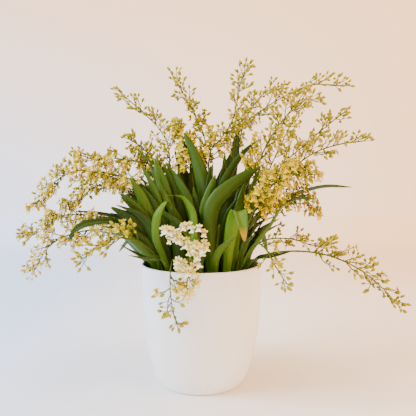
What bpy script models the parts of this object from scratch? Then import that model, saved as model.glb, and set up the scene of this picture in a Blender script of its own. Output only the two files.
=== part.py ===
"""Potted orchid of the small-flowered, many-branched kind, in a plain white pot.

Every length is in millimetres and turned to metres when a mesh is made. The origin is the
middle of the pot's flat underside and +Z is up. The plant is drawn as a front elevation with
depths: each leaf and spray is a few hand-placed points (u across, v up, y away from the
front), and at() opens the elevation into space about the station it is drawn from, so a
point nearer the front stands on the same sight line. Leaves and stems that would touch are
eased apart along their depth, and side branches only grow where there is room.
"""

import math
import random

import bmesh
import bpy
import numpy as np
from mathutils import Vector

for old in list(bpy.data.objects):
    bpy.data.objects.remove(old)

# ---------------------------------------------------------------- the pots

POT_H = 147.0  # height of the white pot
POT_R = 75.0  # outside radius at the rim
FOOT_R = 55.0  # outside radius where the wall would meet the ground
WALL = 3.6
BARK_TOP = 127.0

# ---------------------------------------------------------------- the plant's drawing

STATION = (8.7, -567.0, 239.7)  # the elevation is drawn from here

# name: width, foot (x, y), heading of the blade at its foot and tip in degrees, points
LEAVES = {
    "leaf_front_broad": (17, (4, -20), 250, 240, [(5, 188, -20), (2, 245, -18), (-14, 295, -14), (-22, 311, -12)]),
    "leaf_left_upright": (13, (-14, -12), 225, 205, [(-22, 182, -14), (-48, 226, -14), (-57, 256, -10), (-55, 286, -6)]),
    "leaf_left_narrow": (9, (-8, 16), 190, 190, [(-20, 200, 20), (-38, 255, 24), (-65, 274, 28), (-84, 293, 30)]),
    "leaf_left_rounded": (12, (-20, 2), 170, 150, [(-22, 190, 4), (-52, 238, 6), (-76, 267, 6)]),
    "leaf_left_broad": (17, (-24, -14), 205, 230, [(-38, 172, -18), (-64, 198, -24), (-96, 233, -28)]),
    "leaf_front_curled": (11, (-36, -30), 215, 195, [(-50, 152, -42), (-59, 175, -48), (-59, 198, -50), (-52, 216, -50), (-43, 224, -50), (-36, 213, -50)]),
    "leaf_front_bent": (10, (-8, -37), 215, 200, [(-11, 163, -40), (-11, 198, -42), (-14, 213, -42), (-24, 228, -42), (-44, 232, -40)]),
    "leaf_right_tall": (9, (18, 22), 60, 60, [(22, 170, 24), (30, 207, 26), (43, 276, 28), (48, 333, 30)]),
    "leaf_centre_tall": (9, (8, 8), 300, 300, [(17, 194, 11), (34, 257, 13), (43, 308, 14)]),
    "leaf_centre_right": (11, (6, -4), 300, 320, [(11, 175, -6), (26, 238, -8), (53, 284, -8), (73, 302, -8)]),
    "leaf_right_broad": (19, (14, -36), 290, 300, [(12, 170, -42), (17, 217, -44), (49, 251, -42), (74, 267, -38)]),
    "leaf_front_folded": (15, (30, -38), 275, 270, [(37, 175, -46), (43, 203, -55), (48, 211, -67), (52, 197, -79), (55, 173, -84)]),
    "leaf_right_arching": (12, (40, -18), 345, 355, [(62, 156, -20), (75, 175, -20), (89, 194, -18), (104, 218, -14), (122, 227, -12), (145, 227, -10)]),
    "leaf_far_right": (9, (36, 14), 345, 350, [(52, 175, 16), (72, 207, 20), (108, 227, 24), (153, 242, 26), (191, 242, 28)]),
    "leaf_front_low": (10, (16, -50), 285, 300, [(20, 152, -64), (31, 168, -74), (45, 180, -82)]),
    "leaf_left_arching": (12, (-36, -10), 205, 215, [(-50, 158, -14), (-87, 190, -18), (-123, 198, -20), (-155, 191, -22), (-169, 173, -24)]),
    "leaf_left_upper": (10, (-30, 12), 170, 175, [(-50, 165, 14), (-87, 196, 18), (-123, 207, 22), (-157, 212, 26)]),
    "leaf_left_low": (9, (-46, -22), 215, 205, [(-58, 148, -34), (-72, 151, -44), (-86, 159, -50), (-103, 170, -54)]),
    "leaf_left_rim": (8, (-32, -44), 235, 220, [(-52, 150, -60), (-68, 150, -68), (-92, 156, -74)]),
    "leaf_rim_left": (8, (-18, -50), 260, 262, [(-20, 152, -66), (-24, 147, -81), (-27, 131, -91)]),
    "leaf_rim_right": (8, (-4, -56), 275, 275, [(-1, 152, -68), (-1, 147, -83), (-1, 132, -92)]),
    "leaf_low_right": (9, (48, -28), 300, 350, [(68, 149, -36), (92, 154, -42), (112, 160, -46)]),
    "leaf_back_left": (13, (-14, 34), 120, 120, [(-22, 180, 44), (-40, 228, 60), (-62, 250, 92)]),
    "leaf_back_middle": (14, (4, 38), 95, 95, [(4, 190, 50), (0, 240, 70), (-6, 262, 110)]),
    "leaf_back_right": (13, (24, 34), 60, 60, [(40, 180, 46), (62, 222, 70), (84, 232, 110)]),
    "leaf_back_low": (12, (-34, 36), 115, 130, [(-60, 168, 60), (-84, 178, 90), (-104, 160, 120)]),
    "leaf_back_arch": (12, (36, 40), 60, 60, [(50, 172, 54), (60, 181, 74), (74, 184, 104), (84, 160, 134)]),
}

# name: foot (x, y), where side branches begin (part of the length), their number, longest
# and shortest side branch, points
SPRAYS = {
    "spray_left_upper": ((-14, 8), 0.45, 6, 26, 10, [(-37, 226, 15), (-39, 270, 20), (-42, 296, 24), (-54, 317, 28), (-76, 338, 30), (-103, 362, 34)]),
    "spray_crown_left": ((0, 2), 0.66, 6, 24, 10, [(-2, 175, 3), (-10, 251, 6), (-18, 289, 8), (-28, 320, 8)]),
    "spray_crown_top": ((-2, 26), 0.5, 6, 26, 10, [(4, 200, 40), (6, 276, 52), (4, 305, 56), (-3, 323, 58), (-13, 343, 60), (-37, 383, 64)]),
    "spray_left_buds": ((-24, 22), 0.5, 6, 20, 9, [(-45, 226, 40), (-58, 270, 50), (-71, 289, 54), (-92, 303, 58)]),
    "spray_left_middle": ((-30, 26), 0.45, 6, 26, 10, [(-45, 238, 50), (-64, 270, 62), (-86, 275, 68), (-108, 278, 74), (-128, 275, 78), (-158, 285, 84)]),
    "spray_left_long": ((-38, 2), 0.4, 7, 30, 10, [(-58, 226, 2), (-78, 247, -2), (-103, 256, -12), (-128, 261, -16), (-162, 261, -20), (-190, 243, -24), (-209, 217, -28)]),
    "spray_left_drooping": ((-40, 8), 0.4, 6, 28, 12, [(-67, 220, 14), (-89, 241, 20), (-115, 247, 26), (-140, 238, 30), (-159, 218, 34)]),
    "spray_centre_tall": ((14, 4), 0.5, 7, 26, 10, [(10, 238, 2), (12, 287, 2), (25, 303, 0), (39, 325, -4), (45, 348, -8), (50, 375, -14), (59, 391, -18)]),
    "spray_right_tall": ((20, 26), 0.5, 6, 26, 10, [(43, 251, 44), (51, 313, 56), (59, 333, 60), (79, 359, 64), (104, 370, 68)]),
    "spray_right_upper": ((24, 14), 0.45, 7, 28, 10, [(39, 238, 19), (44, 295, 20), (52, 318, 20), (82, 342, 18), (112, 359, 16), (138, 369, 14), (182, 368, 12)]),
    "spray_right_crown": ((30, -14), 0.45, 6, 26, 10, [(62, 238, -30), (82, 295, -40), (106, 330, -46), (126, 351, -50), (146, 348, -54)]),
    "spray_back_crown": ((30, 24), 0.45, 6, 26, 10, [(77, 245, 60), (102, 300, 80), (112, 320, 86), (129, 348, 92)]),
    "spray_right_fan": ((36, 6), 0.42, 7, 28, 12, [(77, 232, 14), (104, 272, 12), (129, 294, 8), (153, 315, 4), (179, 336, 0)]),
    "spray_right_middle": ((38, -8), 0.42, 6, 26, 12, [(84, 226, -22), (116, 266, -32), (142, 285, -40), (171, 295, -46), (206, 300, -52)]),
    "spray_right_dense": ((38, -24), 0.42, 6, 24, 12, [(64, 207, -42), (84, 238, -54), (106, 257, -62), (137, 261, -68)]),
    "spray_right_low": ((46, -2), 0.45, 6, 22, 12, [(77, 198, 6), (99, 222, 8), (121, 232, 8), (143, 216, 8)]),
    "spray_low_left_outer": ((-48, -8), 0.35, 7, 26, 10, [(-54, 150, -10), (-66, 170, -12), (-82, 178, -14), (-103, 187, -14), (-152, 186, -16), (-190, 169, -18), (-215, 131, -20)]),
    "spray_low_left_upper": ((-46, 6), 0.35, 7, 28, 12, [(-56, 158, 8), (-74, 182, 14), (-98, 198, 20), (-134, 206, 28), (-184, 204, 36), (-219, 176, 42)]),
    "spray_low_left_front": ((-44, -32), 0.4, 6, 22, 10, [(-58, 156, -44), (-77, 172, -56), (-102, 178, -66), (-127, 171, -74), (-152, 148, -80)]),
    "spray_low_right_arch": ((50, -20), 0.42, 7, 28, 10, [(74, 153, -24), (109, 161, -26), (156, 157, -28), (197, 140, -30), (229, 115, -32), (253, 89, -34)]),
    "spray_low_right_short": ((48, 12), 0.45, 6, 18, 9, [(74, 172, 24), (112, 177, 34), (142, 168, 40), (165, 165, 44)]),
    "spray_front_right": ((42, -42), 0.5, 5, 14, 8, [(60, 160, -54), (70, 171, -62), (80, 166, -68), (94, 142, -76), (109, 119, -80)]),
    "spray_front_hanging": ((-26, -42), 0.5, 5, 16, 8, [(-35, 151, -68), (-39, 135, -84), (-38, 98, -88), (-31, 66, -88)]),
    "spray_front_left_cluster": ((-12, -44), 0.45, 5, 12, 8, [(-16, 166, -58), (-20, 182, -68), (-27, 188, -76), (-35, 180, -84)]),
    "spray_front_cluster": ((2, -44), 0.42, 7, 14, 9, [(0, 164, -60), (-3, 177, -74), (-10, 166, -88), (-16, 138, -98), (-19, 110, -100)]),
    "spray_back_drooping": ((-6, 46), 0.4, 6, 26, 12, [(-20, 200, 84), (-34, 230, 110), (-48, 222, 140), (-56, 196, 160)]),
}

# name: foot, half width across its face, half width through it, height and turn of the
# pseudobulb, then the leaves that grow from its top: width, headings, points
GROWTHS = {
    "growth_left": ((-25, -4), 9.0, 5.5, 33, 200, [
        (13, 190, 185, [(-36, 186, -2), (-56, 220, -3), (-74, 252, -4)]),
        (12, 170, 165, [(-30, 190, 6), (-37, 232, 10), (-41, 274, 12)]),
        (12, 205, 205, [(-44, 176, -8), (-70, 202, -10), (-103, 214, -14)]),
    ]),
    "growth_front": ((-6, -30), 8.5, 5.5, 30, 260, [
        (14, 215, 210, [(-9, 184, -28), (-18, 222, -27), (-36, 264, -26)]),
        (13, 290, 290, [(0, 184, -28), (8, 222, -30), (18, 258, -32)]),
        (12, 200, 210, [(-16, 176, -34), (-38, 200, -40), (-66, 216, -44)]),
    ]),
    "growth_right": ((25, -4), 9.0, 5.5, 34, 330, [
        (14, 320, 330, [(32, 186, -4), (46, 230, -3), (66, 274, -2)]),
        (13, 330, 335, [(38, 178, -8), (62, 208, -12), (96, 232, -16)]),
        (12, 350, 350, [(26, 188, 2), (30, 234, 4), (30, 286, 6)]),
    ]),
    "growth_back": ((0, 30), 9.5, 6.0, 36, 90, [
        (13, 100, 105, [(-4, 186, 34), (-14, 236, 38), (-33, 288, 44)]),
        (13, 70, 60, [(8, 186, 34), (22, 238, 38), (42, 292, 44)]),
        (14, 90, 90, [(0, 182, 42), (2, 222, 58), (4, 262, 84)]),
    ]),
}

def at(p):
    """Elevation points (u, v, y) as x, y, z."""
    p = np.asarray(p, float)
    s = 1 - p[..., 2] / STATION[1]
    return np.stack([STATION[0] + (p[..., 0] - STATION[0]) * s, p[..., 2], STATION[2] + (p[..., 1] - STATION[2]) * s], -1)


def drawn(x, y, z):
    """The elevation point of a place in space."""
    s = 1 - y / STATION[1]
    return (STATION[0] + (x - STATION[0]) / s, STATION[2] + (z - STATION[2]) / s, y)


def spline(points, count):
    """A smooth curve through the points, in count even steps."""
    p = np.array(points, float)
    t = np.concatenate([[0], np.cumsum(np.linalg.norm(np.diff(p, axis=0), axis=1) ** 0.5)])
    m = np.gradient(p, t, axis=0)
    s = np.linspace(0, 1, 24, endpoint=False)[:, None]
    dense = []
    for k in range(len(p) - 1):
        h = t[k + 1] - t[k]
        dense.append(
            (2 * s**3 - 3 * s**2 + 1) * p[k]
            + (s**3 - 2 * s**2 + s) * h * m[k]
            + (3 * s**2 - 2 * s**3) * p[k + 1]
            + (s**3 - s**2) * h * m[k + 1]
        )
    dense = np.vstack(dense + [p[-1:]])
    along = np.concatenate([[0], np.cumsum(np.linalg.norm(np.diff(dense, axis=0), axis=1))])
    even = np.linspace(0, along[-1], count)
    return np.stack([np.interp(even, along, dense[:, i]) for i in range(3)], 1)


def unit(v):
    return v / np.maximum(np.linalg.norm(v, axis=-1, keepdims=True), 1e-9)


def spaced_feet():
    """The feet of leaves, sprays and pseudobulbs on the bark, eased apart."""
    names = list(LEAVES) + list(SPRAYS) + list(GROWTHS)
    foot = np.array([LEAVES[n][1] if n in LEAVES else SPRAYS[n][0] if n in SPRAYS else GROWTHS[n][0] for n in names], float)
    room = np.array([5.6 if n in LEAVES else 3.6 if n in SPRAYS else 9.5 for n in names])
    for _ in range(400):
        gap = foot[:, None] - foot[None]
        far = np.linalg.norm(gap, axis=-1) + np.eye(len(names)) * 99
        short = np.clip(room[:, None] + room[None] - far, 0, None)
        foot = foot + (gap / far[..., None] * short[..., None] * 0.3).sum(1)
        out = np.linalg.norm(foot, axis=1)
        foot *= np.minimum(1, (60 - room) / np.maximum(out, 1e-6))[:, None]
    return dict(zip(names, foot))


def blades(feet):
    """Every leaf: name, or growth and number, to width, headings, start and points."""
    every = {}
    for n, (width, _, az0, az1, points) in LEAVES.items():
        every[n] = (width, az0, az1, drawn(*feet[n], BARK_TOP + 0.4), points)
    for n, (_, _, _, height, _, leaves) in GROWTHS.items():
        for k, (width, az0, az1, points) in enumerate(leaves):
            every[n, k] = (width, az0, az1, drawn(*feet[n], BARK_TOP + height * 0.84), points)
    return every


def blade_profile(t, width):
    """Half width of a leaf along its length."""
    return 0.5 * width * (0.5 + 0.5 * np.sin(np.clip(t / 0.55, 0, 1) * math.pi / 2)) * np.clip((1.0 - t) / 0.34, 0, 1) ** 0.62


def blade_frame(line, az0, az1):
    """Along, across and up directions of a leaf at each place on its line."""
    along = unit(np.gradient(line, axis=0))
    t = np.linspace(0, 1, len(line))
    az = np.radians(az0 + (az1 - az0) * t)
    across = np.stack([np.sin(az), -np.cos(az), 0 * az], 1)
    across = unit(across - (across * along).sum(1, keepdims=True) * along)
    return along, across, np.cross(across, along)


def ribbon(line, width, az0, az1, sides):
    """Places spread across a leaf, side by side."""
    _, across, up = blade_frame(line, az0, az1)
    half = blade_profile(np.linspace(0, 1, len(line)), width)[:, None]
    return [line + across * half * side + up * half * abs(side) * 0.3 for side in sides]


def ease_apart(feet):
    """The lines of leaves and sprays, eased along their depth until none touch."""
    every = blades(feet)
    lines = {n: spline([start] + points, 33) for n, (_, _, _, start, points) in every.items()}
    for name, (_, _, _, _, _, points) in SPRAYS.items():
        lines[name] = spline([drawn(*feet[name], BARK_TOP + 0.4)] + points, 49)
    names = list(lines)
    family = [n[0] if isinstance(n, tuple) else n for n in names]
    owner, place, radius, sleeve = [], [], [], []
    for k, n in enumerate(names):
        count = len(lines[n])
        for _ in range(3 if n in every else 1):
            owner += [k] * count
            place += list(range(count))
            radius += [3.9 if n in every else 2.2] * count
            # leaves of one pseudobulb meet at its top
            sleeve += [list(GROWTHS).index(n[0]) if isinstance(n, tuple) and i < 9 else -1 for i in range(count)]
    owner, place, radius, sleeve = np.array(owner), np.array(place), np.array(radius, np.float32), np.array(sleeve)
    bulb_points, bulb_of = [], []
    for k, (n, (_, a, b, h, _, _)) in enumerate(GROWTHS.items()):
        for z in np.linspace(3, h - 3, 6):
            bulb_points.append((feet[n][0], feet[n][1], BARK_TOP + z))
            bulb_of.append(k)
    bulb_points = np.array(bulb_points, np.float32)
    own_bulb = sleeve[:, None] == np.array(bulb_of)[None]
    need = radius[:, None] + radius[None]
    same = (owner[:, None] == owner[None]) | ((sleeve[:, None] == sleeve[None]) & (sleeve[:, None] >= 0))
    in_front = {}
    for turn in range(90):
        cloud = []
        for n in names:
            line = at(lines[n])
            cloud += ribbon(line, *every[n][:3], (-0.85, 0, 0.85)) if n in every else [line]
        cloud = np.vstack(cloud).astype(np.float32)
        size2 = (cloud**2).sum(1)
        gap2 = np.clip(size2[:, None] + size2[None] - 2 * cloud @ cloud.T, 0, None)
        short = np.where(same, 0, need - np.sqrt(gap2))
        rows, cols = np.nonzero(short > 0.05)
        if not len(rows):
            break
        # which of two crossing pieces is in front is settled once, over their whole crossing
        pair = owner[rows] * len(names) + owner[cols]
        dy = cloud[rows, 1] - cloud[cols, 1]
        total = np.bincount(pair, weights=dy * short[rows, cols], minlength=len(names) ** 2)
        for p in np.unique(pair):
            if p not in in_front:
                a, b = divmod(int(p), len(names))
                sign = 1.0 if total[p] > 0 or (total[p] == 0 and a > b) else -1.0
                in_front[p], in_front[b * len(names) + a] = sign, -sign
        push = np.array([in_front[p] for p in pair]) * short[rows, cols]
        high = np.zeros(len(owner))
        low = np.zeros(len(owner))
        np.maximum.at(high, rows, push)
        np.minimum.at(low, rows, push)
        move = high + low
        bulb_gap = np.sqrt(np.clip(size2[:, None] + (bulb_points**2).sum(1)[None] - 2 * cloud @ bulb_points.T, 0, None))
        bulb_gap = np.where(own_bulb, 99, bulb_gap)
        near = bulb_gap.argmin(1)
        bulb_short = np.clip(radius + 6.5 - bulb_gap.min(1), 0, None)
        side = np.where(cloud[:, 1] >= bulb_points[near, 1], 1.0, -1.0)
        move = np.where(bulb_short > 0.05, side * bulb_short, move)
        for k, n in enumerate(names):
            mine = owner == k
            up_step = np.zeros(len(lines[n]))
            down_step = np.zeros(len(lines[n]))
            np.maximum.at(up_step, place[mine], move[mine])
            np.minimum.at(down_step, place[mine], move[mine])
            step = (up_step + down_step) * 0.45
            for _ in range(5):
                step[1:-1] = 0.25 * step[:-2] + 0.5 * step[1:-1] + 0.25 * step[2:]
            step[0] = 0
            lines[n][:, 2] += step
    return {n: at(lines[n]) for n in names}


def side_branches(feet, lines):
    """Side branches of every spray: (place on the stem, line, kind of its end, size), kept clear of other pieces."""
    leaf_cloud = np.vstack([p for n, (width, az0, az1, _, _) in blades(feet).items() for p in ribbon(lines[n], width, az0, az1, (-1, -0.5, 0, 0.5, 1))])
    stems = {n: lines[n] for n in SPRAYS}
    taken = {n: [] for n in SPRAYS}
    result = {n: [] for n in SPRAYS}
    order = list(SPRAYS)
    dice = {n: random.Random(11 + 7 * k) for k, n in enumerate(order)}
    rounds = max(SPRAYS[n][2] for n in order)
    for step in range(rounds):
        for k, n in enumerate(order):
            _, begin, count, longest, shortest, _ = SPRAYS[n]
            if step >= count:
                continue
            line = stems[n]
            part = (step + 0.5) / count
            t = begin + (0.985 - begin) * part
            rough = line[::6]  # the stem's straight pieces run between these
            where = t * (len(rough) - 1)
            i = int(where)
            root = rough[i] + (rough[i + 1] - rough[i]) * (where - i)
            along = unit(rough[i + 1] - rough[i])
            flat = unit(np.cross(along, [0, 0, 1.0]) + 1e-6)
            rise = np.cross(flat, along)
            others = [stems[m] for m in order if m != n]
            block = [np.array(taken[m]) for m in order if m != n and taken[m]]
            length = (longest + (shortest - longest) * part) * (0.85 + 0.3 * dice[n].random())
            turn = 137.5 * step + 40 * k + 25 * dice[n].random()
            kind = "bud" if part > 0.62 or dice[n].random() < 0.18 else "flower"
            size = (6.0 + dice[n].random() * 1.2) if kind == "flower" else (3.0 + dice[n].random() * 0.8)
            for attempt in range(9):
                a = math.radians(turn + attempt * 41)
                sprout = unit(along * 0.62 + flat * math.cos(a) * 0.85 + rise * math.sin(a) * 0.85)
                reach = length * (1 - 0.05 * attempt)
                mid = root + unit(sprout + np.array([0, 0, 0.1])) * reach * 0.5
                end = mid + unit(sprout * 0.8 + np.array([0, 0, 0.35])) * reach * 0.5
                if math.hypot(end[0], end[1]) < 88 and end[2] < POT_H + 9:
                    continue
                body = np.array([root + sprout * 6, mid, (mid + end) / 2, end])
                big = np.array([2.4, 2.6, 2.8, size + 2.2])
                clear = True
                for rest in [leaf_cloud] + others:
                    if (np.linalg.norm(body[:, None] - rest[None], axis=-1) < big[:, None] + 1.4).any():
                        clear = False
                        break
                if clear:
                    for rest in block:
                        if (np.linalg.norm(body[:, None] - rest[None, :, :3], axis=-1) < big[:, None] + rest[None, :, 3] - 1.0).any():
                            clear = False
                            break
                if clear:
                    for b, r in zip(body, big):
                        taken[n].append((b[0], b[1], b[2], r))
                    face = unit(sprout + np.array([0, -0.35, 0.45]) + unit(end * np.array([1, 1, 0])) * 0.6)
                    result[n].append((t, root, sprout, mid, end, face, kind, size))
                    break
    return result


# ---------------------------------------------------------------- meshes


def shell(points, faces):
    return [tuple(float(c) for c in p) for p in points], [tuple(f) for f in faces]


def tube(line, radii, sides):
    """A stem of the given number of sides along a line."""
    line = np.asarray(line, float)
    along = unit(np.gradient(line, axis=0))
    helper = np.array([0.31, 0.77, 0.12])
    points, faces = [], []
    across = unit(np.cross(along[0], helper))
    for p, d, r in zip(line, along, radii):
        across = unit(across - (across * d).sum() * d)
        other = np.cross(d, across)
        for s in range(sides):
            a = 2 * math.pi * s / sides
            points.append(p + (across * math.cos(a) + other * math.sin(a)) * r)
    for i in range(len(line) - 1):
        for s in range(sides):
            a, b = i * sides + s, i * sides + (s + 1) % sides
            faces.append((a, b, b + sides, a + sides))
    faces.append(tuple(range(sides - 1, -1, -1)))
    faces.append(tuple((len(line) - 1) * sides + s for s in range(sides)))
    return shell(points, faces)


def on_bark(shape, ring):
    """The shape with its first ring of points flat on the bark, and nothing sunk into it."""
    points, faces = shape
    low = BARK_TOP + 0.4
    return [(x, y, low if k < ring or (z < low and math.hypot(x, y) < 64) else z) for k, (x, y, z) in enumerate(points)], faces


def bloom(centre, face, size):
    """A flower with five points and a broad lip, as a thin star."""
    face = unit(np.asarray(face, float))
    across = unit(np.cross(face, [0.02, 0.05, 1.0]))
    down = np.cross(across, face)
    down = down if down[2] < 0 else -down
    across = np.cross(down, face)
    points = []
    for s in range(10):
        a = math.pi * s / 5
        reach = size if s % 2 == 0 else size * (0.52 if s in (1, 9) else 0.4)
        points.append(centre + (down * math.cos(a) + across * math.sin(a)) * reach - face * (0.5 if s % 2 else -0.6))
    points += [centre + face * 1.5, centre - face * 1.7]
    faces = []
    for s in range(10):
        a, b = s, (s + 1) % 10
        faces += [(a, b, 10), (b, a, 11)]
    return shell(points, faces)


def bud(centre, face, size):
    """A bud: a pointed egg of four sides."""
    face = unit(np.asarray(face, float))
    across = unit(np.cross(face, [0.05, 0.02, 1.0]))
    other = np.cross(face, across)
    points = [centre - face * size * 0.7]
    points += [centre + (across * math.cos(a) + other * math.sin(a)) * size * 0.55 + face * size * 0.1 for a in (0, math.pi / 2, math.pi, 1.5 * math.pi)]
    points.append(centre + face * size * 1.05)
    faces = []
    for s in range(4):
        a, b = 1 + s, 1 + (s + 1) % 4
        faces += [(b, a, 0), (a, b, 5)]
    return shell(points, faces)


def new_object(name, points, faces, material):
    mesh = bpy.data.meshes.new(name)
    mesh.from_pydata([tuple(c * 0.001 for c in p) for p in points], [], faces)
    work = bmesh.new()
    work.from_mesh(mesh)
    bmesh.ops.recalc_face_normals(work, faces=work.faces)
    if work.calc_volume(signed=True) < 0:
        bmesh.ops.reverse_faces(work, faces=work.faces)
    work.to_mesh(mesh)
    work.free()
    mesh.materials.append(material)
    obj = bpy.data.objects.new(name, mesh)
    bpy.context.scene.collection.objects.link(obj)
    return obj


def joined(name, pieces, material, solver="EXACT"):
    """Overlapping closed shapes as one solid: each is added to the first with a boolean."""
    base = new_object(name, *pieces[0], material)
    helpers = []
    for k, piece in enumerate(pieces[1:]):
        helper = new_object(f"{name}_add{k}", *piece, material)
        helper.hide_render = True
        helper.display_type = "WIRE"
        add = base.modifiers.new(f"add{k}", "BOOLEAN")
        add.operation = "UNION"
        add.solver = solver
        add.object = helper
        helpers.append(helper)
    bpy.context.view_layer.update()
    solid = bpy.data.meshes.new_from_object(base.evaluated_get(bpy.context.evaluated_depsgraph_get()))
    base.modifiers.clear()
    base.data = solid
    solid.name = name
    for helper in helpers:
        bpy.data.objects.remove(helper)
    return base


def material(name, colour, roughness, metallic=0.0):
    """A plain surface, its colour given as display values from 0 to 255."""
    new = bpy.data.materials.new(name)
    new.use_nodes = True
    shader = new.node_tree.nodes["Principled BSDF"]
    linear = [((c / 255 + 0.055) / 1.055) ** 2.4 if c > 10 else c / 255 / 12.92 for c in colour]
    shader.inputs["Base Color"].default_value = (*linear, 1)
    shader.inputs["Roughness"].default_value = roughness
    shader.inputs["Metallic"].default_value = metallic
    new.diffuse_color = (*linear, 1)
    return new


def turned(name, profile, sides, material):
    """A solid turned about the Z axis from a closed outline of (radius, height)."""
    points, faces, rings = [], [], []
    for r, z in profile:
        if r < 1e-6:
            rings.append([len(points)])
            points.append((0, 0, z))
        else:
            rings.append(list(range(len(points), len(points) + sides)))
            points += [(r * math.cos(2 * math.pi * s / sides), r * math.sin(2 * math.pi * s / sides), z) for s in range(sides)]
    for low, high in zip(rings, rings[1:]):
        for s in range(sides):
            n = (s + 1) % sides
            if len(low) == 1:
                faces.append((low[0], high[n], high[s]))
            elif len(high) == 1:
                faces.append((low[s], low[n], high[0]))
            else:
                faces.append((low[s], low[n], high[n], high[s]))
    return new_object(name, points, faces, material)


def pot_radius(z):
    return FOOT_R + (POT_R - FOOT_R) * (1 - (1 - z / POT_H) ** 3.2)


glaze = material("white_glaze", (240, 238, 234), 0.32)
plastic = material("grow_pot_plastic", (42, 40, 38), 0.5)
bark = material("bark", (92, 62, 40), 0.9)
leaf_green = material("leaf_green", (72, 92, 22), 0.42)
leaf_light = material("leaf_light", (112, 138, 48), 0.45)
bulb_green = material("pseudobulb_green", (104, 122, 50), 0.45)
yellow = material("yellow_flowers", (206, 166, 44), 0.55)
cream = material("cream_flowers", (234, 222, 196), 0.55)

# the white pot: a foot with a rounded edge, a wall that bows out and a rounded rim
outside = [(0.0, 0.0), (FOOT_R - 4.0, 0.0), (FOOT_R - 1.0, 0.9), (FOOT_R + 0.6, 3.2)]
outside += [(pot_radius(z), z) for z in (10, 22, 38, 60, 90, 120, POT_H - 1.6)]
outside += [(POT_R - 0.5, POT_H - 0.3), (POT_R - 1.6, POT_H), (POT_R - 2.8, POT_H - 0.3), (POT_R - WALL, POT_H - 1.6)]
outside += [(pot_radius(z) - WALL, z) for z in (120, 90, 60, 38, 22, 12)]
outside += [(FOOT_R - 4.5, 7.4), (FOOT_R - 10.0, 6.0), (0.0, 6.0)]
turned("outer_pot", outside, 48, glaze)

# the grow pot stands inside it on the floor
grow = [(0.0, 6.4), (45.0, 6.4), (47.0, 8.4), (64.0, 130.0), (68.0, 130.6), (68.0, 134.0), (66.8, 134.0), (64.6, 132.4), (62.6, 130.6), (45.8, 9.2), (44.4, 7.8), (0.0, 7.8)]
turned("grow_pot", grow, 32, plastic)
turned("bark", [(0.0, 8.2), (44.0, 8.2), (45.2, 9.4), (61.4, 124.0), (60.0, BARK_TOP), (0.0, BARK_TOP)], 32, bark)

feet = spaced_feet()
lines = ease_apart(feet)
branches = side_branches(feet, lines)



def blade(name, lift):
    """A leaf as a thin folded strap, its first ring lifted or flat on the bark."""
    width, az0, az1, _, _ = every[name]
    line = lines[name]
    along, across, up = blade_frame(line, az0, az1)
    t = np.linspace(0, 1, len(line))
    half = blade_profile(t, width)
    fold = np.radians(46 - 30 * t)
    # the edges stand up less where the blade bends sharply
    bend = np.linalg.norm(np.gradient(along, axis=0), axis=1) / np.linalg.norm(np.gradient(line, axis=0), axis=1)
    room = 0.45 / np.maximum(bend, 1e-4)
    picks = [int(round(k * (len(line) - 1) / STATIONS)) for k in range(STATIONS)] + [len(line) - 2]
    points, faces = [], []
    for i in picks:
        h, f = half[i], fold[i]
        thick = 0.75 if t[i] < 0.8 else 0.5
        edge = up[i] * min(h * math.sin(f), room[i])
        points += [
            line[i] - across[i] * h * math.cos(f) + edge,
            line[i] + up[i] * thick,
            line[i] + across[i] * h * math.cos(f) + edge,
            line[i] - up[i] * thick,
        ]
    for k in range(len(picks) - 1):
        for s in range(4):
            a, b = 4 * k + s, 4 * k + (s + 1) % 4
            faces.append((a, b, b + 4, a + 4))
    end = len(points)
    points.append(line[-1])
    top = 4 * (len(picks) - 1)
    faces += [(top + s, top + (s + 1) % 4, end) for s in range(4)]
    faces += [(0, 3, 1), (3, 2, 1)]
    return shell(points, faces) if lift else on_bark((points, faces), 4)


def bulb(x, y, wide, thick, height, turn):
    """A pseudobulb: a flattened egg standing on the bark."""
    a = math.radians(turn)
    points, faces, rings = [], [], []
    for share, z in ((0.6, 0.0), (0.92, 0.18), (1.0, 0.38), (0.86, 0.66), (0.62, 0.88), (0.4, 1.0)):
        ring = []
        for s in range(10):
            b = 2 * math.pi * s / 10
            px, py = wide * share * math.cos(b), thick * share * math.sin(b)
            ring.append(len(points))
            points.append((x - px * math.sin(a) + py * math.cos(a), y + px * math.cos(a) + py * math.sin(a), BARK_TOP + 0.4 + z * height))
        rings.append(ring)
    for low, high in zip(rings, rings[1:]):
        faces += [(low[s], low[(s + 1) % 10], high[(s + 1) % 10], high[s]) for s in range(10)]
    faces += [tuple(rings[0][::-1]), tuple(rings[-1])]
    return shell(points, faces)


LIGHT = ("leaf_front_curled", "leaf_front_bent", "leaf_front_folded", "leaf_left_arching")
STATIONS = 9
every = blades(feet)
for name in LEAVES:
    new_object(name, *blade(name, False), leaf_light if name in LIGHT else leaf_green)
for name, (_, wide, thick, height, turn, leaves) in GROWTHS.items():
    pieces = [bulb(*feet[name], wide, thick, height, turn)]
    joined(name, pieces + [blade((name, k), True) for k in range(len(leaves))], bulb_green, "MANIFOLD")

CREAM = ("spray_low_left_outer", "spray_low_left_upper", "spray_front_left_cluster", "spray_front_cluster", "spray_left_drooping")
for name in SPRAYS:
    line = lines[name]
    rough = line[::6]
    pieces = [on_bark(tube(rough, [1.25 - 0.75 * k / (len(rough) - 1) for k in range(len(rough))], 4), 4)]
    for t, root, sprout, mid, end, face, kind, size in branches[name]:
        pieces.append(tube([root - unit(end - root) * 0.2, end], [0.5, 0.4], 3))
        pieces.append(bloom(end, face, size) if kind == "flower" else bud(end, face, size))
    pieces.append(bud(line[-1], line[-1] - line[-2], 3.2))
    joined(name, pieces, cream if name in CREAM else yellow)
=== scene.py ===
"""The looks of the potted orchid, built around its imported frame.

The plant's drawing and the way its lines are laid out are the design's own, repeated here so
that every leaf blade and flower spray lies on the solid it stands for. Lengths are in
millimetres until a mesh is made.
"""

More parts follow.
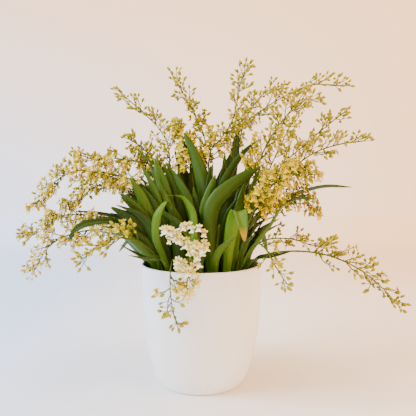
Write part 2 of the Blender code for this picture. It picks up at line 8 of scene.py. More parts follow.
import math
import random

import bpy
import numpy as np
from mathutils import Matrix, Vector
from mathutils.kdtree import KDTree


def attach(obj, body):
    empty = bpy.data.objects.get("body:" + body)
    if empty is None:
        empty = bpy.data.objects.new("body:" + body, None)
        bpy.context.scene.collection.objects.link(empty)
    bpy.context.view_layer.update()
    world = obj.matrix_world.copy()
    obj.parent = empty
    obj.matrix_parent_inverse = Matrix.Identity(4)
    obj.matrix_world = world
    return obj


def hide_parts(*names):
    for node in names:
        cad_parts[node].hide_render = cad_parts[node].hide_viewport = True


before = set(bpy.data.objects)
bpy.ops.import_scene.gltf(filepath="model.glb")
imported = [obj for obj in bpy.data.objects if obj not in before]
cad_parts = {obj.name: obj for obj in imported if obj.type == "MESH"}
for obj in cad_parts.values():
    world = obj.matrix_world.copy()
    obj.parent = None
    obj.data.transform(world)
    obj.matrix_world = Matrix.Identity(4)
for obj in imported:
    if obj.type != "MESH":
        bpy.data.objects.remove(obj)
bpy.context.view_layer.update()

POT_H = 147.0
POT_R = 75.0
FOOT_R = 55.0
WALL = 3.6
BARK_TOP = 127.0

# ---------------------------------------------------------------- the plant's drawing

STATION = (8.7, -567.0, 239.7)  # the elevation is drawn from here

# name: width, foot (x, y), heading of the blade at its foot and tip in degrees, points
LEAVES = {
    "leaf_front_broad": (17, (4, -20), 250, 240, [(5, 188, -20), (2, 245, -18), (-14, 295, -14), (-22, 311, -12)]),
    "leaf_left_upright": (13, (-14, -12), 225, 205, [(-22, 182, -14), (-48, 226, -14), (-57, 256, -10), (-55, 286, -6)]),
    "leaf_left_narrow": (9, (-8, 16), 190, 190, [(-20, 200, 20), (-38, 255, 24), (-65, 274, 28), (-84, 293, 30)]),
    "leaf_left_rounded": (12, (-20, 2), 170, 150, [(-22, 190, 4), (-52, 238, 6), (-76, 267, 6)]),
    "leaf_left_broad": (17, (-24, -14), 205, 230, [(-38, 172, -18), (-64, 198, -24), (-96, 233, -28)]),
    "leaf_front_curled": (11, (-36, -30), 215, 195, [(-50, 152, -42), (-59, 175, -48), (-59, 198, -50), (-52, 216, -50), (-43, 224, -50), (-36, 213, -50)]),
    "leaf_front_bent": (10, (-8, -37), 215, 200, [(-11, 163, -40), (-11, 198, -42), (-14, 213, -42), (-24, 228, -42), (-44, 232, -40)]),
    "leaf_right_tall": (9, (18, 22), 60, 60, [(22, 170, 24), (30, 207, 26), (43, 276, 28), (48, 333, 30)]),
    "leaf_centre_tall": (9, (8, 8), 300, 300, [(17, 194, 11), (34, 257, 13), (43, 308, 14)]),
    "leaf_centre_right": (11, (6, -4), 300, 320, [(11, 175, -6), (26, 238, -8), (53, 284, -8), (73, 302, -8)]),
    "leaf_right_broad": (19, (14, -36), 290, 300, [(12, 170, -42), (17, 217, -44), (49, 251, -42), (74, 267, -38)]),
    "leaf_front_folded": (15, (30, -38), 275, 270, [(37, 175, -46), (43, 203, -55), (48, 211, -67), (52, 197, -79), (55, 173, -84)]),
    "leaf_right_arching": (12, (40, -18), 345, 355, [(62, 156, -20), (75, 175, -20), (89, 194, -18), (104, 218, -14), (122, 227, -12), (145, 227, -10)]),
    "leaf_far_right": (9, (36, 14), 345, 350, [(52, 175, 16), (72, 207, 20), (108, 227, 24), (153, 242, 26), (191, 242, 28)]),
    "leaf_front_low": (10, (16, -50), 285, 300, [(20, 152, -64), (31, 168, -74), (45, 180, -82)]),
    "leaf_left_arching": (12, (-36, -10), 205, 215, [(-50, 158, -14), (-87, 190, -18), (-123, 198, -20), (-155, 191, -22), (-169, 173, -24)]),
    "leaf_left_upper": (10, (-30, 12), 170, 175, [(-50, 165, 14), (-87, 196, 18), (-123, 207, 22), (-157, 212, 26)]),
    "leaf_left_low": (9, (-46, -22), 215, 205, [(-58, 148, -34), (-72, 151, -44), (-86, 159, -50), (-103, 170, -54)]),
    "leaf_left_rim": (8, (-32, -44), 235, 220, [(-52, 150, -60), (-68, 150, -68), (-92, 156, -74)]),
    "leaf_rim_left": (8, (-18, -50), 260, 262, [(-20, 152, -66), (-24, 147, -81), (-27, 131, -91)]),
    "leaf_rim_right": (8, (-4, -56), 275, 275, [(-1, 152, -68), (-1, 147, -83), (-1, 132, -92)]),
    "leaf_low_right": (9, (48, -28), 300, 350, [(68, 149, -36), (92, 154, -42), (112, 160, -46)]),
    "leaf_back_left": (13, (-14, 34), 120, 120, [(-22, 180, 44), (-40, 228, 60), (-62, 250, 92)]),
    "leaf_back_middle": (14, (4, 38), 95, 95, [(4, 190, 50), (0, 240, 70), (-6, 262, 110)]),
    "leaf_back_right": (13, (24, 34), 60, 60, [(40, 180, 46), (62, 222, 70), (84, 232, 110)]),
    "leaf_back_low": (12, (-34, 36), 115, 130, [(-60, 168, 60), (-84, 178, 90), (-104, 160, 120)]),
    "leaf_back_arch": (12, (36, 40), 60, 60, [(50, 172, 54), (60, 181, 74), (74, 184, 104), (84, 160, 134)]),
}

# name: foot (x, y), where side branches begin (part of the length), their number, longest
# and shortest side branch, points
SPRAYS = {
    "spray_left_upper": ((-14, 8), 0.45, 6, 26, 10, [(-37, 226, 15), (-39, 270, 20), (-42, 296, 24), (-54, 317, 28), (-76, 338, 30), (-103, 362, 34)]),
    "spray_crown_left": ((0, 2), 0.66, 6, 24, 10, [(-2, 175, 3), (-10, 251, 6), (-18, 289, 8), (-28, 320, 8)]),
    "spray_crown_top": ((-2, 26), 0.5, 6, 26, 10, [(4, 200, 40), (6, 276, 52), (4, 305, 56), (-3, 323, 58), (-13, 343, 60), (-37, 383, 64)]),
    "spray_left_buds": ((-24, 22), 0.5, 6, 20, 9, [(-45, 226, 40), (-58, 270, 50), (-71, 289, 54), (-92, 303, 58)]),
    "spray_left_middle": ((-30, 26), 0.45, 6, 26, 10, [(-45, 238, 50), (-64, 270, 62), (-86, 275, 68), (-108, 278, 74), (-128, 275, 78), (-158, 285, 84)]),
    "spray_left_long": ((-38, 2), 0.4, 7, 30, 10, [(-58, 226, 2), (-78, 247, -2), (-103, 256, -12), (-128, 261, -16), (-162, 261, -20), (-190, 243, -24), (-209, 217, -28)]),
    "spray_left_drooping": ((-40, 8), 0.4, 6, 28, 12, [(-67, 220, 14), (-89, 241, 20), (-115, 247, 26), (-140, 238, 30), (-159, 218, 34)]),
    "spray_centre_tall": ((14, 4), 0.5, 7, 26, 10, [(10, 238, 2), (12, 287, 2), (25, 303, 0), (39, 325, -4), (45, 348, -8), (50, 375, -14), (59, 391, -18)]),
    "spray_right_tall": ((20, 26), 0.5, 6, 26, 10, [(43, 251, 44), (51, 313, 56), (59, 333, 60), (79, 359, 64), (104, 370, 68)]),
    "spray_right_upper": ((24, 14), 0.45, 7, 28, 10, [(39, 238, 19), (44, 295, 20), (52, 318, 20), (82, 342, 18), (112, 359, 16), (138, 369, 14), (182, 368, 12)]),
    "spray_right_crown": ((30, -14), 0.45, 6, 26, 10, [(62, 238, -30), (82, 295, -40), (106, 330, -46), (126, 351, -50), (146, 348, -54)]),
    "spray_back_crown": ((30, 24), 0.45, 6, 26, 10, [(77, 245, 60), (102, 300, 80), (112, 320, 86), (129, 348, 92)]),
    "spray_right_fan": ((36, 6), 0.42, 7, 28, 12, [(77, 232, 14), (104, 272, 12), (129, 294, 8), (153, 315, 4), (179, 336, 0)]),
    "spray_right_middle": ((38, -8), 0.42, 6, 26, 12, [(84, 226, -22), (116, 266, -32), (142, 285, -40), (171, 295, -46), (206, 300, -52)]),
    "spray_right_dense": ((38, -24), 0.42, 6, 24, 12, [(64, 207, -42), (84, 238, -54), (106, 257, -62), (137, 261, -68)]),
    "spray_right_low": ((46, -2), 0.45, 6, 22, 12, [(77, 198, 6), (99, 222, 8), (121, 232, 8), (143, 216, 8)]),
    "spray_low_left_outer": ((-48, -8), 0.35, 7, 26, 10, [(-54, 150, -10), (-66, 170, -12), (-82, 178, -14), (-103, 187, -14), (-152, 186, -16), (-190, 169, -18), (-215, 131, -20)]),
    "spray_low_left_upper": ((-46, 6), 0.35, 7, 28, 12, [(-56, 158, 8), (-74, 182, 14), (-98, 198, 20), (-134, 206, 28), (-184, 204, 36), (-219, 176, 42)]),
    "spray_low_left_front": ((-44, -32), 0.4, 6, 22, 10, [(-58, 156, -44), (-77, 172, -56), (-102, 178, -66), (-127, 171, -74), (-152, 148, -80)]),
    "spray_low_right_arch": ((50, -20), 0.42, 7, 28, 10, [(74, 153, -24), (109, 161, -26), (156, 157, -28), (197, 140, -30), (229, 115, -32), (253, 89, -34)]),
    "spray_low_right_short": ((48, 12), 0.45, 6, 18, 9, [(74, 172, 24), (112, 177, 34), (142, 168, 40), (165, 165, 44)]),
    "spray_front_right": ((42, -42), 0.5, 5, 14, 8, [(60, 160, -54), (70, 171, -62), (80, 166, -68), (94, 142, -76), (109, 119, -80)]),
    "spray_front_hanging": ((-26, -42), 0.5, 5, 16, 8, [(-35, 151, -68), (-39, 135, -84), (-38, 98, -88), (-31, 66, -88)]),
    "spray_front_left_cluster": ((-12, -44), 0.45, 5, 12, 8, [(-16, 166, -58), (-20, 182, -68), (-27, 188, -76), (-35, 180, -84)]),
    "spray_front_cluster": ((2, -44), 0.42, 7, 14, 9, [(0, 164, -60), (-3, 177, -74), (-10, 166, -88), (-16, 138, -98), (-19, 110, -100)]),
    "spray_back_drooping": ((-6, 46), 0.4, 6, 26, 12, [(-20, 200, 84), (-34, 230, 110), (-48, 222, 140), (-56, 196, 160)]),
}

# name: foot, half width across its face, half width through it, height and turn of the
# pseudobulb, then the leaves that grow from its top: width, headings, points
GROWTHS = {
    "growth_left": ((-25, -4), 9.0, 5.5, 33, 200, [
        (13, 190, 185, [(-36, 186, -2), (-56, 220, -3), (-74, 252, -4)]),
        (12, 170, 165, [(-30, 190, 6), (-37, 232, 10), (-41, 274, 12)]),
        (12, 205, 205, [(-44, 176, -8), (-70, 202, -10), (-103, 214, -14)]),
    ]),
    "growth_front": ((-6, -30), 8.5, 5.5, 30, 260, [
        (14, 215, 210, [(-9, 184, -28), (-18, 222, -27), (-36, 264, -26)]),
        (13, 290, 290, [(0, 184, -28), (8, 222, -30), (18, 258, -32)]),
        (12, 200, 210, [(-16, 176, -34), (-38, 200, -40), (-66, 216, -44)]),
    ]),
    "growth_right": ((25, -4), 9.0, 5.5, 34, 330, [
        (14, 320, 330, [(32, 186, -4), (46, 230, -3), (66, 274, -2)]),
        (13, 330, 335, [(38, 178, -8), (62, 208, -12), (96, 232, -16)]),
        (12, 350, 350, [(26, 188, 2), (30, 234, 4), (30, 286, 6)]),
    ]),
    "growth_back": ((0, 30), 9.5, 6.0, 36, 90, [
        (13, 100, 105, [(-4, 186, 34), (-14, 236, 38), (-33, 288, 44)]),
        (13, 70, 60, [(8, 186, 34), (22, 238, 38), (42, 292, 44)]),
        (14, 90, 90, [(0, 182, 42), (2, 222, 58), (4, 262, 84)]),
    ]),
}

def at(p):
    """Elevation points (u, v, y) as x, y, z."""
    p = np.asarray(p, float)
    s = 1 - p[..., 2] / STATION[1]
    return np.stack([STATION[0] + (p[..., 0] - STATION[0]) * s, p[..., 2], STATION[2] + (p[..., 1] - STATION[2]) * s], -1)


def drawn(x, y, z):
    """The elevation point of a place in space."""
    s = 1 - y / STATION[1]
    return (STATION[0] + (x - STATION[0]) / s, STATION[2] + (z - STATION[2]) / s, y)


def spline(points, count):
    """A smooth curve through the points, in count even steps."""
    p = np.array(points, float)
    t = np.concatenate([[0], np.cumsum(np.linalg.norm(np.diff(p, axis=0), axis=1) ** 0.5)])
    m = np.gradient(p, t, axis=0)
    s = np.linspace(0, 1, 24, endpoint=False)[:, None]
    dense = []
    for k in range(len(p) - 1):
        h = t[k + 1] - t[k]
        dense.append(
            (2 * s**3 - 3 * s**2 + 1) * p[k]
            + (s**3 - 2 * s**2 + s) * h * m[k]
            + (3 * s**2 - 2 * s**3) * p[k + 1]
            + (s**3 - s**2) * h * m[k + 1]
        )
    dense = np.vstack(dense + [p[-1:]])
    along = np.concatenate([[0], np.cumsum(np.linalg.norm(np.diff(dense, axis=0), axis=1))])
    even = np.linspace(0, along[-1], count)
    return np.stack([np.interp(even, along, dense[:, i]) for i in range(3)], 1)


def unit(v):
    return v / np.maximum(np.linalg.norm(v, axis=-1, keepdims=True), 1e-9)


def spaced_feet():
    """The feet of leaves, sprays and pseudobulbs on the bark, eased apart."""
    names = list(LEAVES) + list(SPRAYS) + list(GROWTHS)
    foot = np.array([LEAVES[n][1] if n in LEAVES else SPRAYS[n][0] if n in SPRAYS else GROWTHS[n][0] for n in names], float)
    room = np.array([5.6 if n in LEAVES else 3.6 if n in SPRAYS else 9.5 for n in names])
    for _ in range(400):
        gap = foot[:, None] - foot[None]
        far = np.linalg.norm(gap, axis=-1) + np.eye(len(names)) * 99
        short = np.clip(room[:, None] + room[None] - far, 0, None)
        foot = foot + (gap / far[..., None] * short[..., None] * 0.3).sum(1)
        out = np.linalg.norm(foot, axis=1)
        foot *= np.minimum(1, (60 - room) / np.maximum(out, 1e-6))[:, None]
    return dict(zip(names, foot))


def blades(feet):
    """Every leaf: name, or growth and number, to width, headings, start and points."""
    every = {}
    for n, (width, _, az0, az1, points) in LEAVES.items():
        every[n] = (width, az0, az1, drawn(*feet[n], BARK_TOP + 0.4), points)
    for n, (_, _, _, height, _, leaves) in GROWTHS.items():
        for k, (width, az0, az1, points) in enumerate(leaves):
            every[n, k] = (width, az0, az1, drawn(*feet[n], BARK_TOP + height * 0.84), points)
    return every


def blade_profile(t, width):
    """Half width of a leaf along its length."""
    return 0.5 * width * (0.5 + 0.5 * np.sin(np.clip(t / 0.55, 0, 1) * math.pi / 2)) * np.clip((1.0 - t) / 0.34, 0, 1) ** 0.62


def blade_frame(line, az0, az1):
    """Along, across and up directions of a leaf at each place on its line."""
    along = unit(np.gradient(line, axis=0))
    t = np.linspace(0, 1, len(line))
    az = np.radians(az0 + (az1 - az0) * t)
    across = np.stack([np.sin(az), -np.cos(az), 0 * az], 1)
    across = unit(across - (across * along).sum(1, keepdims=True) * along)
    return along, across, np.cross(across, along)


def ribbon(line, width, az0, az1, sides):
    """Places spread across a leaf, side by side."""
    _, across, up = blade_frame(line, az0, az1)
    half = blade_profile(np.linspace(0, 1, len(line)), width)[:, None]
    return [line + across * half * side + up * half * abs(side) * 0.3 for side in sides]


def ease_apart(feet):
    """The lines of leaves and sprays, eased along their depth until none touch."""
    every = blades(feet)
    lines = {n: spline([start] + points, 33) for n, (_, _, _, start, points) in every.items()}
    for name, (_, _, _, _, _, points) in SPRAYS.items():
        lines[name] = spline([drawn(*feet[name], BARK_TOP + 0.4)] + points, 49)
    names = list(lines)
    family = [n[0] if isinstance(n, tuple) else n for n in names]
    owner, place, radius, sleeve = [], [], [], []
    for k, n in enumerate(names):
        count = len(lines[n])
        for _ in range(3 if n in every else 1):
            owner += [k] * count
            place += list(range(count))
            radius += [3.9 if n in every else 2.2] * count
            # leaves of one pseudobulb meet at its top
            sleeve += [list(GROWTHS).index(n[0]) if isinstance(n, tuple) and i < 9 else -1 for i in range(count)]
    owner, place, radius, sleeve = np.array(owner), np.array(place), np.array(radius, np.float32), np.array(sleeve)
    bulb_points, bulb_of = [], []
    for k, (n, (_, a, b, h, _, _)) in enumerate(GROWTHS.items()):
        for z in np.linspace(3, h - 3, 6):
            bulb_points.append((feet[n][0], feet[n][1], BARK_TOP + z))
            bulb_of.append(k)
    bulb_points = np.array(bulb_points, np.float32)
    own_bulb = sleeve[:, None] == np.array(bulb_of)[None]
    need = radius[:, None] + radius[None]
    same = (owner[:, None] == owner[None]) | ((sleeve[:, None] == sleeve[None]) & (sleeve[:, None] >= 0))
    in_front = {}
    for turn in range(90):
        cloud = []
        for n in names:
            line = at(lines[n])
            cloud += ribbon(line, *every[n][:3], (-0.85, 0, 0.85)) if n in every else [line]
        cloud = np.vstack(cloud).astype(np.float32)
        size2 = (cloud**2).sum(1)
        gap2 = np.clip(size2[:, None] + size2[None] - 2 * cloud @ cloud.T, 0, None)
        short = np.where(same, 0, need - np.sqrt(gap2))
        rows, cols = np.nonzero(short > 0.05)
        if not len(rows):
            break
        # which of two crossing pieces is in front is settled once, over their whole crossing
        pair = owner[rows] * len(names) + owner[cols]
        dy = cloud[rows, 1] - cloud[cols, 1]
        total = np.bincount(pair, weights=dy * short[rows, cols], minlength=len(names) ** 2)
        for p in np.unique(pair):
            if p not in in_front:
                a, b = divmod(int(p), len(names))
                sign = 1.0 if total[p] > 0 or (total[p] == 0 and a > b) else -1.0
                in_front[p], in_front[b * len(names) + a] = sign, -sign
        push = np.array([in_front[p] for p in pair]) * short[rows, cols]
        high = np.zeros(len(owner))
        low = np.zeros(len(owner))
        np.maximum.at(high, rows, push)
        np.minimum.at(low, rows, push)
        move = high + low
        bulb_gap = np.sqrt(np.clip(size2[:, None] + (bulb_points**2).sum(1)[None] - 2 * cloud @ bulb_points.T, 0, None))
        bulb_gap = np.where(own_bulb, 99, bulb_gap)
        near = bulb_gap.argmin(1)
        bulb_short = np.clip(radius + 6.5 - bulb_gap.min(1), 0, None)
        side = np.where(cloud[:, 1] >= bulb_points[near, 1], 1.0, -1.0)
        move = np.where(bulb_short > 0.05, side * bulb_short, move)
        for k, n in enumerate(names):
            mine = owner == k
            up_step = np.zeros(len(lines[n]))
            down_step = np.zeros(len(lines[n]))
            np.maximum.at(up_step, place[mine], move[mine])
            np.minimum.at(down_step, place[mine], move[mine])
            step = (up_step + down_step) * 0.45
            for _ in range(5):
                step[1:-1] = 0.25 * step[:-2] + 0.5 * step[1:-1] + 0.25 * step[2:]
            step[0] = 0
            lines[n][:, 2] += step
    return {n: at(lines[n]) for n in names}


def side_branches(feet, lines):
    """Side branches of every spray: (place on the stem, line, kind of its end, size), kept clear of other pieces."""
    leaf_cloud = np.vstack([p for n, (width, az0, az1, _, _) in blades(feet).items() for p in ribbon(lines[n], width, az0, az1, (-1, -0.5, 0, 0.5, 1))])
    stems = {n: lines[n] for n in SPRAYS}
    taken = {n: [] for n in SPRAYS}
    result = {n: [] for n in SPRAYS}
    order = list(SPRAYS)
    dice = {n: random.Random(11 + 7 * k) for k, n in enumerate(order)}
    rounds = max(SPRAYS[n][2] for n in order)
    for step in range(rounds):
        for k, n in enumerate(order):
            _, begin, count, longest, shortest, _ = SPRAYS[n]
            if step >= count:
                continue
            line = stems[n]
            part = (step + 0.5) / count
            t = begin + (0.985 - begin) * part
            rough = line[::6]  # the stem's straight pieces run between these
            where = t * (len(rough) - 1)
            i = int(where)
            root = rough[i] + (rough[i + 1] - rough[i]) * (where - i)
            along = unit(rough[i + 1] - rough[i])
            flat = unit(np.cross(along, [0, 0, 1.0]) + 1e-6)
            rise = np.cross(flat, along)
            others = [stems[m] for m in order if m != n]
            block = [np.array(taken[m]) for m in order if m != n and taken[m]]
            length = (longest + (shortest - longest) * part) * (0.85 + 0.3 * dice[n].random())
            turn = 137.5 * step + 40 * k + 25 * dice[n].random()
            kind = "bud" if part > 0.62 or dice[n].random() < 0.18 else "flower"
            size = (6.0 + dice[n].random() * 1.2) if kind == "flower" else (3.0 + dice[n].random() * 0.8)
            for attempt in range(9):
                a = math.radians(turn + attempt * 41)
                sprout = unit(along * 0.62 + flat * math.cos(a) * 0.85 + rise * math.sin(a) * 0.85)
                reach = length * (1 - 0.05 * attempt)
                mid = root + unit(sprout + np.array([0, 0, 0.1])) * reach * 0.5
                end = mid + unit(sprout * 0.8 + np.array([0, 0, 0.35])) * reach * 0.5
                if math.hypot(end[0], end[1]) < 88 and end[2] < POT_H + 9:
                    continue
                body = np.array([root + sprout * 6, mid, (mid + end) / 2, end])
                big = np.array([2.4, 2.6, 2.8, size + 2.2])
                clear = True
                for rest in [leaf_cloud] + others:
                    if (np.linalg.norm(body[:, None] - rest[None], axis=-1) < big[:, None] + 1.4).any():
                        clear = False
                        break
                if clear:
                    for rest in block:
                        if (np.linalg.norm(body[:, None] - rest[None, :, :3], axis=-1) < big[:, None] + rest[None, :, 3] - 1.0).any():
                            clear = False
                            break
                if clear:
                    for b, r in zip(body, big):
                        taken[n].append((b[0], b[1], b[2], r))
                    face = unit(sprout + np.array([0, -0.35, 0.45]) + unit(end * np.array([1, 1, 0])) * 0.6)
                    result[n].append((t, root, sprout, mid, end, face, kind, size))
                    break
    return result


# ---------------------------------------------------------------- mesh heaps


class Heap:
    """Closed shapes gathered into one mesh, with a place on the map for every corner."""

    def __init__(self):
        self.points, self.faces, self.uvs, self.mats, self.count = [], [], [], [], 0

    def add(self, points, faces, uvs, mats=0):
        points = np.asarray(points, float)
        self.points.append(points)
        base = self.count
        self.faces += [tuple(base + i for i in f) for f in faces]
        self.uvs += uvs
        self.mats += [mats] * len(faces) if isinstance(mats, int) else list(mats)
        self.count += len(points)

    def piece(self, name, materials, smooth=True):
        mesh = bpy.data.meshes.new(name)
        mesh.from_pydata((np.vstack(self.points) * 0.001).tolist(), [], self.faces)
        layer = mesh.uv_layers.new(name="OFBake")
        layer.data.foreach_set("uv", np.array([c for f in self.uvs for c in f], np.float32).ravel())
        mesh.polygons.foreach_set("material_index", self.mats)
        mesh.polygons.foreach_set("use_smooth", [smooth] * len(self.faces))
        for m in materials:
            mesh.materials.append(m)
        mesh.update()
        obj = bpy.data.objects.new(name, mesh)
        bpy.context.scene.collection.objects.link(obj)
        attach(obj, "root")
        return obj


def pillow(grid, up, thick, top, bottom):
    """A closed blade over a grid of places: thickest inside, its two faces meeting at the rim."""
    rows, cols = grid.shape[:2]
    depth = np.broadcast_to(np.asarray(thick, float), (rows, cols))[..., None] * 0.5
    inner = np.zeros((rows, cols, 1))
    inner[1:-1, 1:-1] = 1
    above = grid + up * depth * inner
    below = grid - up * depth * inner
    points = list(above.reshape(-1, 3))
    under = np.arange(rows * cols).reshape(rows, cols)
    under = under.copy()
    for i in range(1, rows - 1):
        for j in range(1, cols - 1):
            under[i, j] = len(points)
            points.append(below[i, j])
    over = np.arange(rows * cols).reshape(rows, cols)

    def place(rect, i, j):
        return (rect[0] + (rect[1] - rect[0]) * j / (cols - 1), rect[2] + (rect[3] - rect[2]) * i / (rows - 1))

    faces, uvs = [], []
    for i in range(rows - 1):
        for j in range(cols - 1):
            ring = ((i, j), (i, j + 1), (i + 1, j + 1), (i + 1, j))
            faces.append(tuple(int(over[r]) for r in ring))
            uvs.append([place(top, *r) for r in ring])
            faces.append(tuple(int(under[r]) for r in ring[::-1]))
            uvs.append([place(bottom, *r) for r in ring[::-1]])
    return np.array(points), faces, uvs


def tube(line, radii, sides, rect, turn=0.0):
    """A round stem along a line, closed at both ends."""
    line = np.asarray(line, float)
    along = unit(np.gradient(line, axis=0))
    across = unit(np.cross(along[0], [0.31, 0.77, 0.12]))
    points = []
    for p, d, r in zip(line, along, radii):
        across = unit(across - (across * d).sum() * d)
        other = np.cross(d, across)
        for s in range(sides):
            a = 2 * math.pi * s / sides + turn
            points.append(p + (across * math.cos(a) + other * math.sin(a)) * r)
    first, last = len(points), len(points) + 1
    points += [line[0] - along[0] * radii[0] * 0.4, line[-1] + along[-1] * radii[-1] * 0.6]
    n = len(line) - 1
    x0, x1, y0, y1 = rect
    faces, uvs = [], []
    for i in range(n):
        va, vb = y0 + (y1 - y0) * i / n, y0 + (y1 - y0) * (i + 1) / n
        for s in range(sides):
            a, b = i * sides + s, i * sides + (s + 1) % sides
            ua, ub = x0 + (x1 - x0) * s / sides, x0 + (x1 - x0) * (s + 1) / sides
            faces.append((a, b, b + sides, a + sides))
            uvs.append([(ua, va), (ub, va), (ub, vb), (ua, vb)])
    for s in range(sides):
        ua, ub = x0 + (x1 - x0) * s / sides, x0 + (x1 - x0) * (s + 1) / sides
        faces.append((s, first, (s + 1) % sides))
        uvs.append([(ua, y0), (ua, y0 + 0.01), (ub, y0)])
        t = n * sides
        faces.append((t + s, t + (s + 1) % sides, last))
        uvs.append([(ua, y1), (ub, y1), (ub, y1 - 0.01)])
    return points, faces, uvs


def egg(profile, sides, rect, flat=1.0):
    """A closed egg about +Z from (radius, height) rings between two poles."""
    points, faces, uvs = [(0, 0, profile[0][1])], [], []
    rings = profile[1:-1]
    for r, z in rings:
        for s in range(sides):
            a = 2 * math.pi * s / sides
            points.append((r * math.cos(a), r * math.sin(a) * flat, z))
    points.append((0, 0, profile[-1][1]))
    x0, x1, y0, y1 = rect
    m = len(rings) + 1

    def uv(s, i):
        return (x0 + (x1 - x0) * s / sides, y0 + (y1 - y0) * i / m)

    for s in range(sides):
        n = (s + 1) % sides
        faces.append((0, 1 + n, 1 + s))
        uvs.append([uv(s + 0.5, 0), uv(s + 1, 1), uv(s, 1)])
        for i in range(len(rings) - 1):
            a, b = 1 + i * sides, 1 + (i + 1) * sides
            faces.append((a + s, a + n, b + n, b + s))
            uvs.append([uv(s, i + 1), uv(s + 1, i + 1), uv(s + 1, i + 2), uv(s, i + 2)])
        a = 1 + (len(rings) - 1) * sides
        faces.append((a + s, a + n, len(points) - 1))
        uvs.append([uv(s, m - 1), uv(s + 1, m - 1), uv(s + 0.5, m)])
    return np.array(points, float), faces, uvs


# ---------------------------------------------------------------- materials


def linear(colour):
    return tuple(((c / 255 + 0.055) / 1.055) ** 2.4 if c > 10 else c / 255 / 12.92 for c in colour) + (1,)


class Paint:
    """A node material written line by line."""

    def __init__(self, name, roughness=0.5, **inputs):
        self.mat = bpy.data.materials.new(name)
        self.mat.use_nodes = True
        self.tree = self.mat.node_tree
        self.shader = self.tree.nodes["Principled BSDF"]
        self.shader.inputs["Roughness"].default_value = roughness
        for key, value in inputs.items():
            self.shader.inputs[key.replace("_", " ")].default_value = value

    def node(self, kind, **inputs):
        new = self.tree.nodes.new("ShaderNode" + kind)
        for key, value in inputs.items():
            if key in ("operation", "blend_type", "data_type", "noise_dimensions", "feature", "interpolation_type", "uv_map", "attribute_name", "clamp", "use_clamp", "invert"):
                setattr(new, key, value)
            else:
                self.put(new.inputs[int(key[1:]) if key[0] == "i" and key[1:].isdigit() else key.replace("_", " ")], value)
        return new

    def put(self, socket, value):
        if isinstance(value, bpy.types.NodeSocket):
            self.tree.links.new(value, socket)
        elif isinstance(value, bpy.types.Node):
            self.tree.links.new(value.outputs[0], socket)
        else:
            socket.default_value = value

    def maths(self, operation, a, b=0.0, c=0.0):
        return self.node("Math", operation=operation, i0=a, i1=b, i2=c).outputs[0]

    def ramp(self, value, stops, constant=False):
        new = self.tree.nodes.new("ShaderNodeValToRGB")
        ramp = new.color_ramp
        ramp.interpolation = "CONSTANT" if constant else "LINEAR"
        while len(ramp.elements) < len(stops):
            ramp.elements.new(0.5)
        for element, (at_, colour) in zip(ramp.elements, stops):
            element.position = at_
            element.color = linear(colour) if len(colour) == 3 else colour
        self.put(new.inputs[0], value)
        return new.outputs[0]

    def mix(self, factor, a, b, blend="MIX"):
        new = self.tree.nodes.new("ShaderNodeMix")
        new.data_type = "RGBA"
        new.blend_type = blend
        self.put(new.inputs[0], factor)
        self.put(new.inputs[6], linear(a) if isinstance(a, tuple) and len(a) == 3 else a)
        self.put(new.inputs[7], linear(b) if isinstance(b, tuple) and len(b) == 3 else b)
        return new.outputs[2]

    def noise(self, vector, scale, detail=2.0, rough=0.5):
        new = self.node("TexNoise", Scale=scale, Detail=detail, Roughness=rough)
        self.put(new.inputs["Vector"], vector)
        return new.outputs[0]

    def uv(self):
        return self.node("UVMap", uv_map="OFBake").outputs[0]

    def split(self, vector):
        new = self.node("SeparateXYZ")
        self.put(new.inputs[0], vector)
        return new.outputs[0], new.outputs[1]

    def scaled(self, vector, x, y, z=1.0):
        new = self.node("VectorMath", operation="MULTIPLY")
        self.put(new.inputs[0], vector)
        new.inputs[1].default_value = (x, y, z)
        return new.outputs[0]

    def range(self, value, a, b, c, d):
        new = self.node("MapRange")
        for k, x in enumerate((value, a, b, c, d)):
            self.put(new.inputs[k], x)
        return new.outputs[0]

    def bump(self, height, strength, distance):
        new = self.node("Bump", Strength=strength, Distance=distance)
        self.put(new.inputs["Height"], height)
        self.put(self.shader.inputs["Normal"], new.outputs[0])

    def colour(self, socket):
        self.put(self.shader.inputs["Base Color"], socket)
        return self.mat

    def rough(self, socket):
        self.put(self.shader.inputs["Roughness"], socket)


def leaf_paint(name, dark, mid, light, under, tip, tip_at=0.93):
    """A waxy strap leaf: fine lengthwise veins, a pale midrib, a lighter underside, a paler foot."""
    p = Paint(name, 0.42, Specular_IOR_Level=0.2)
    uv = p.uv()
    u, v = p.split(uv)
    is_under = p.maths("GREATER_THAN", u, 0.5)
    side = p.maths("ABSOLUTE", p.maths("SUBTRACT", p.maths("MULTIPLY", p.maths("FRACT", p.maths("MULTIPLY", u, 2.0)), 2.0), 1.0))
    veins = p.noise(p.scaled(uv, 95, 2.2), 1.0, 2.0)
    cloud = p.noise(p.scaled(uv, 7, 5), 1.0, 3.0, 0.6)
    face = p.ramp(p.maths("ADD", p.maths("MULTIPLY", veins, 0.45), p.maths("MULTIPLY", cloud, 0.55)), [(0.36, dark), (0.52, mid), (0.68, light)])
    back = p.mix(veins, under, mid)
    base = p.mix(is_under, face, back)
    rib = p.range(side, 0.0, 0.09, 1.0, 0.0)
    base = p.mix(p.maths("MULTIPLY", rib, 0.45), base, light)
    base = p.mix(p.range(v, 0.0, 0.3, 0.55, 0.0), base, under)
    base = p.mix(p.range(v, tip_at, min(tip_at + 0.06, 0.999), 0.0, 0.85), base, tip)
    p.bump(p.maths("ADD", p.maths("MULTIPLY", veins, 0.7), p.maths("MULTIPLY", rib, -0.8)), 0.35, 0.0006)
    p.rough(p.range(cloud, 0.3, 0.7, 0.38, 0.54))
    return p.colour(base)


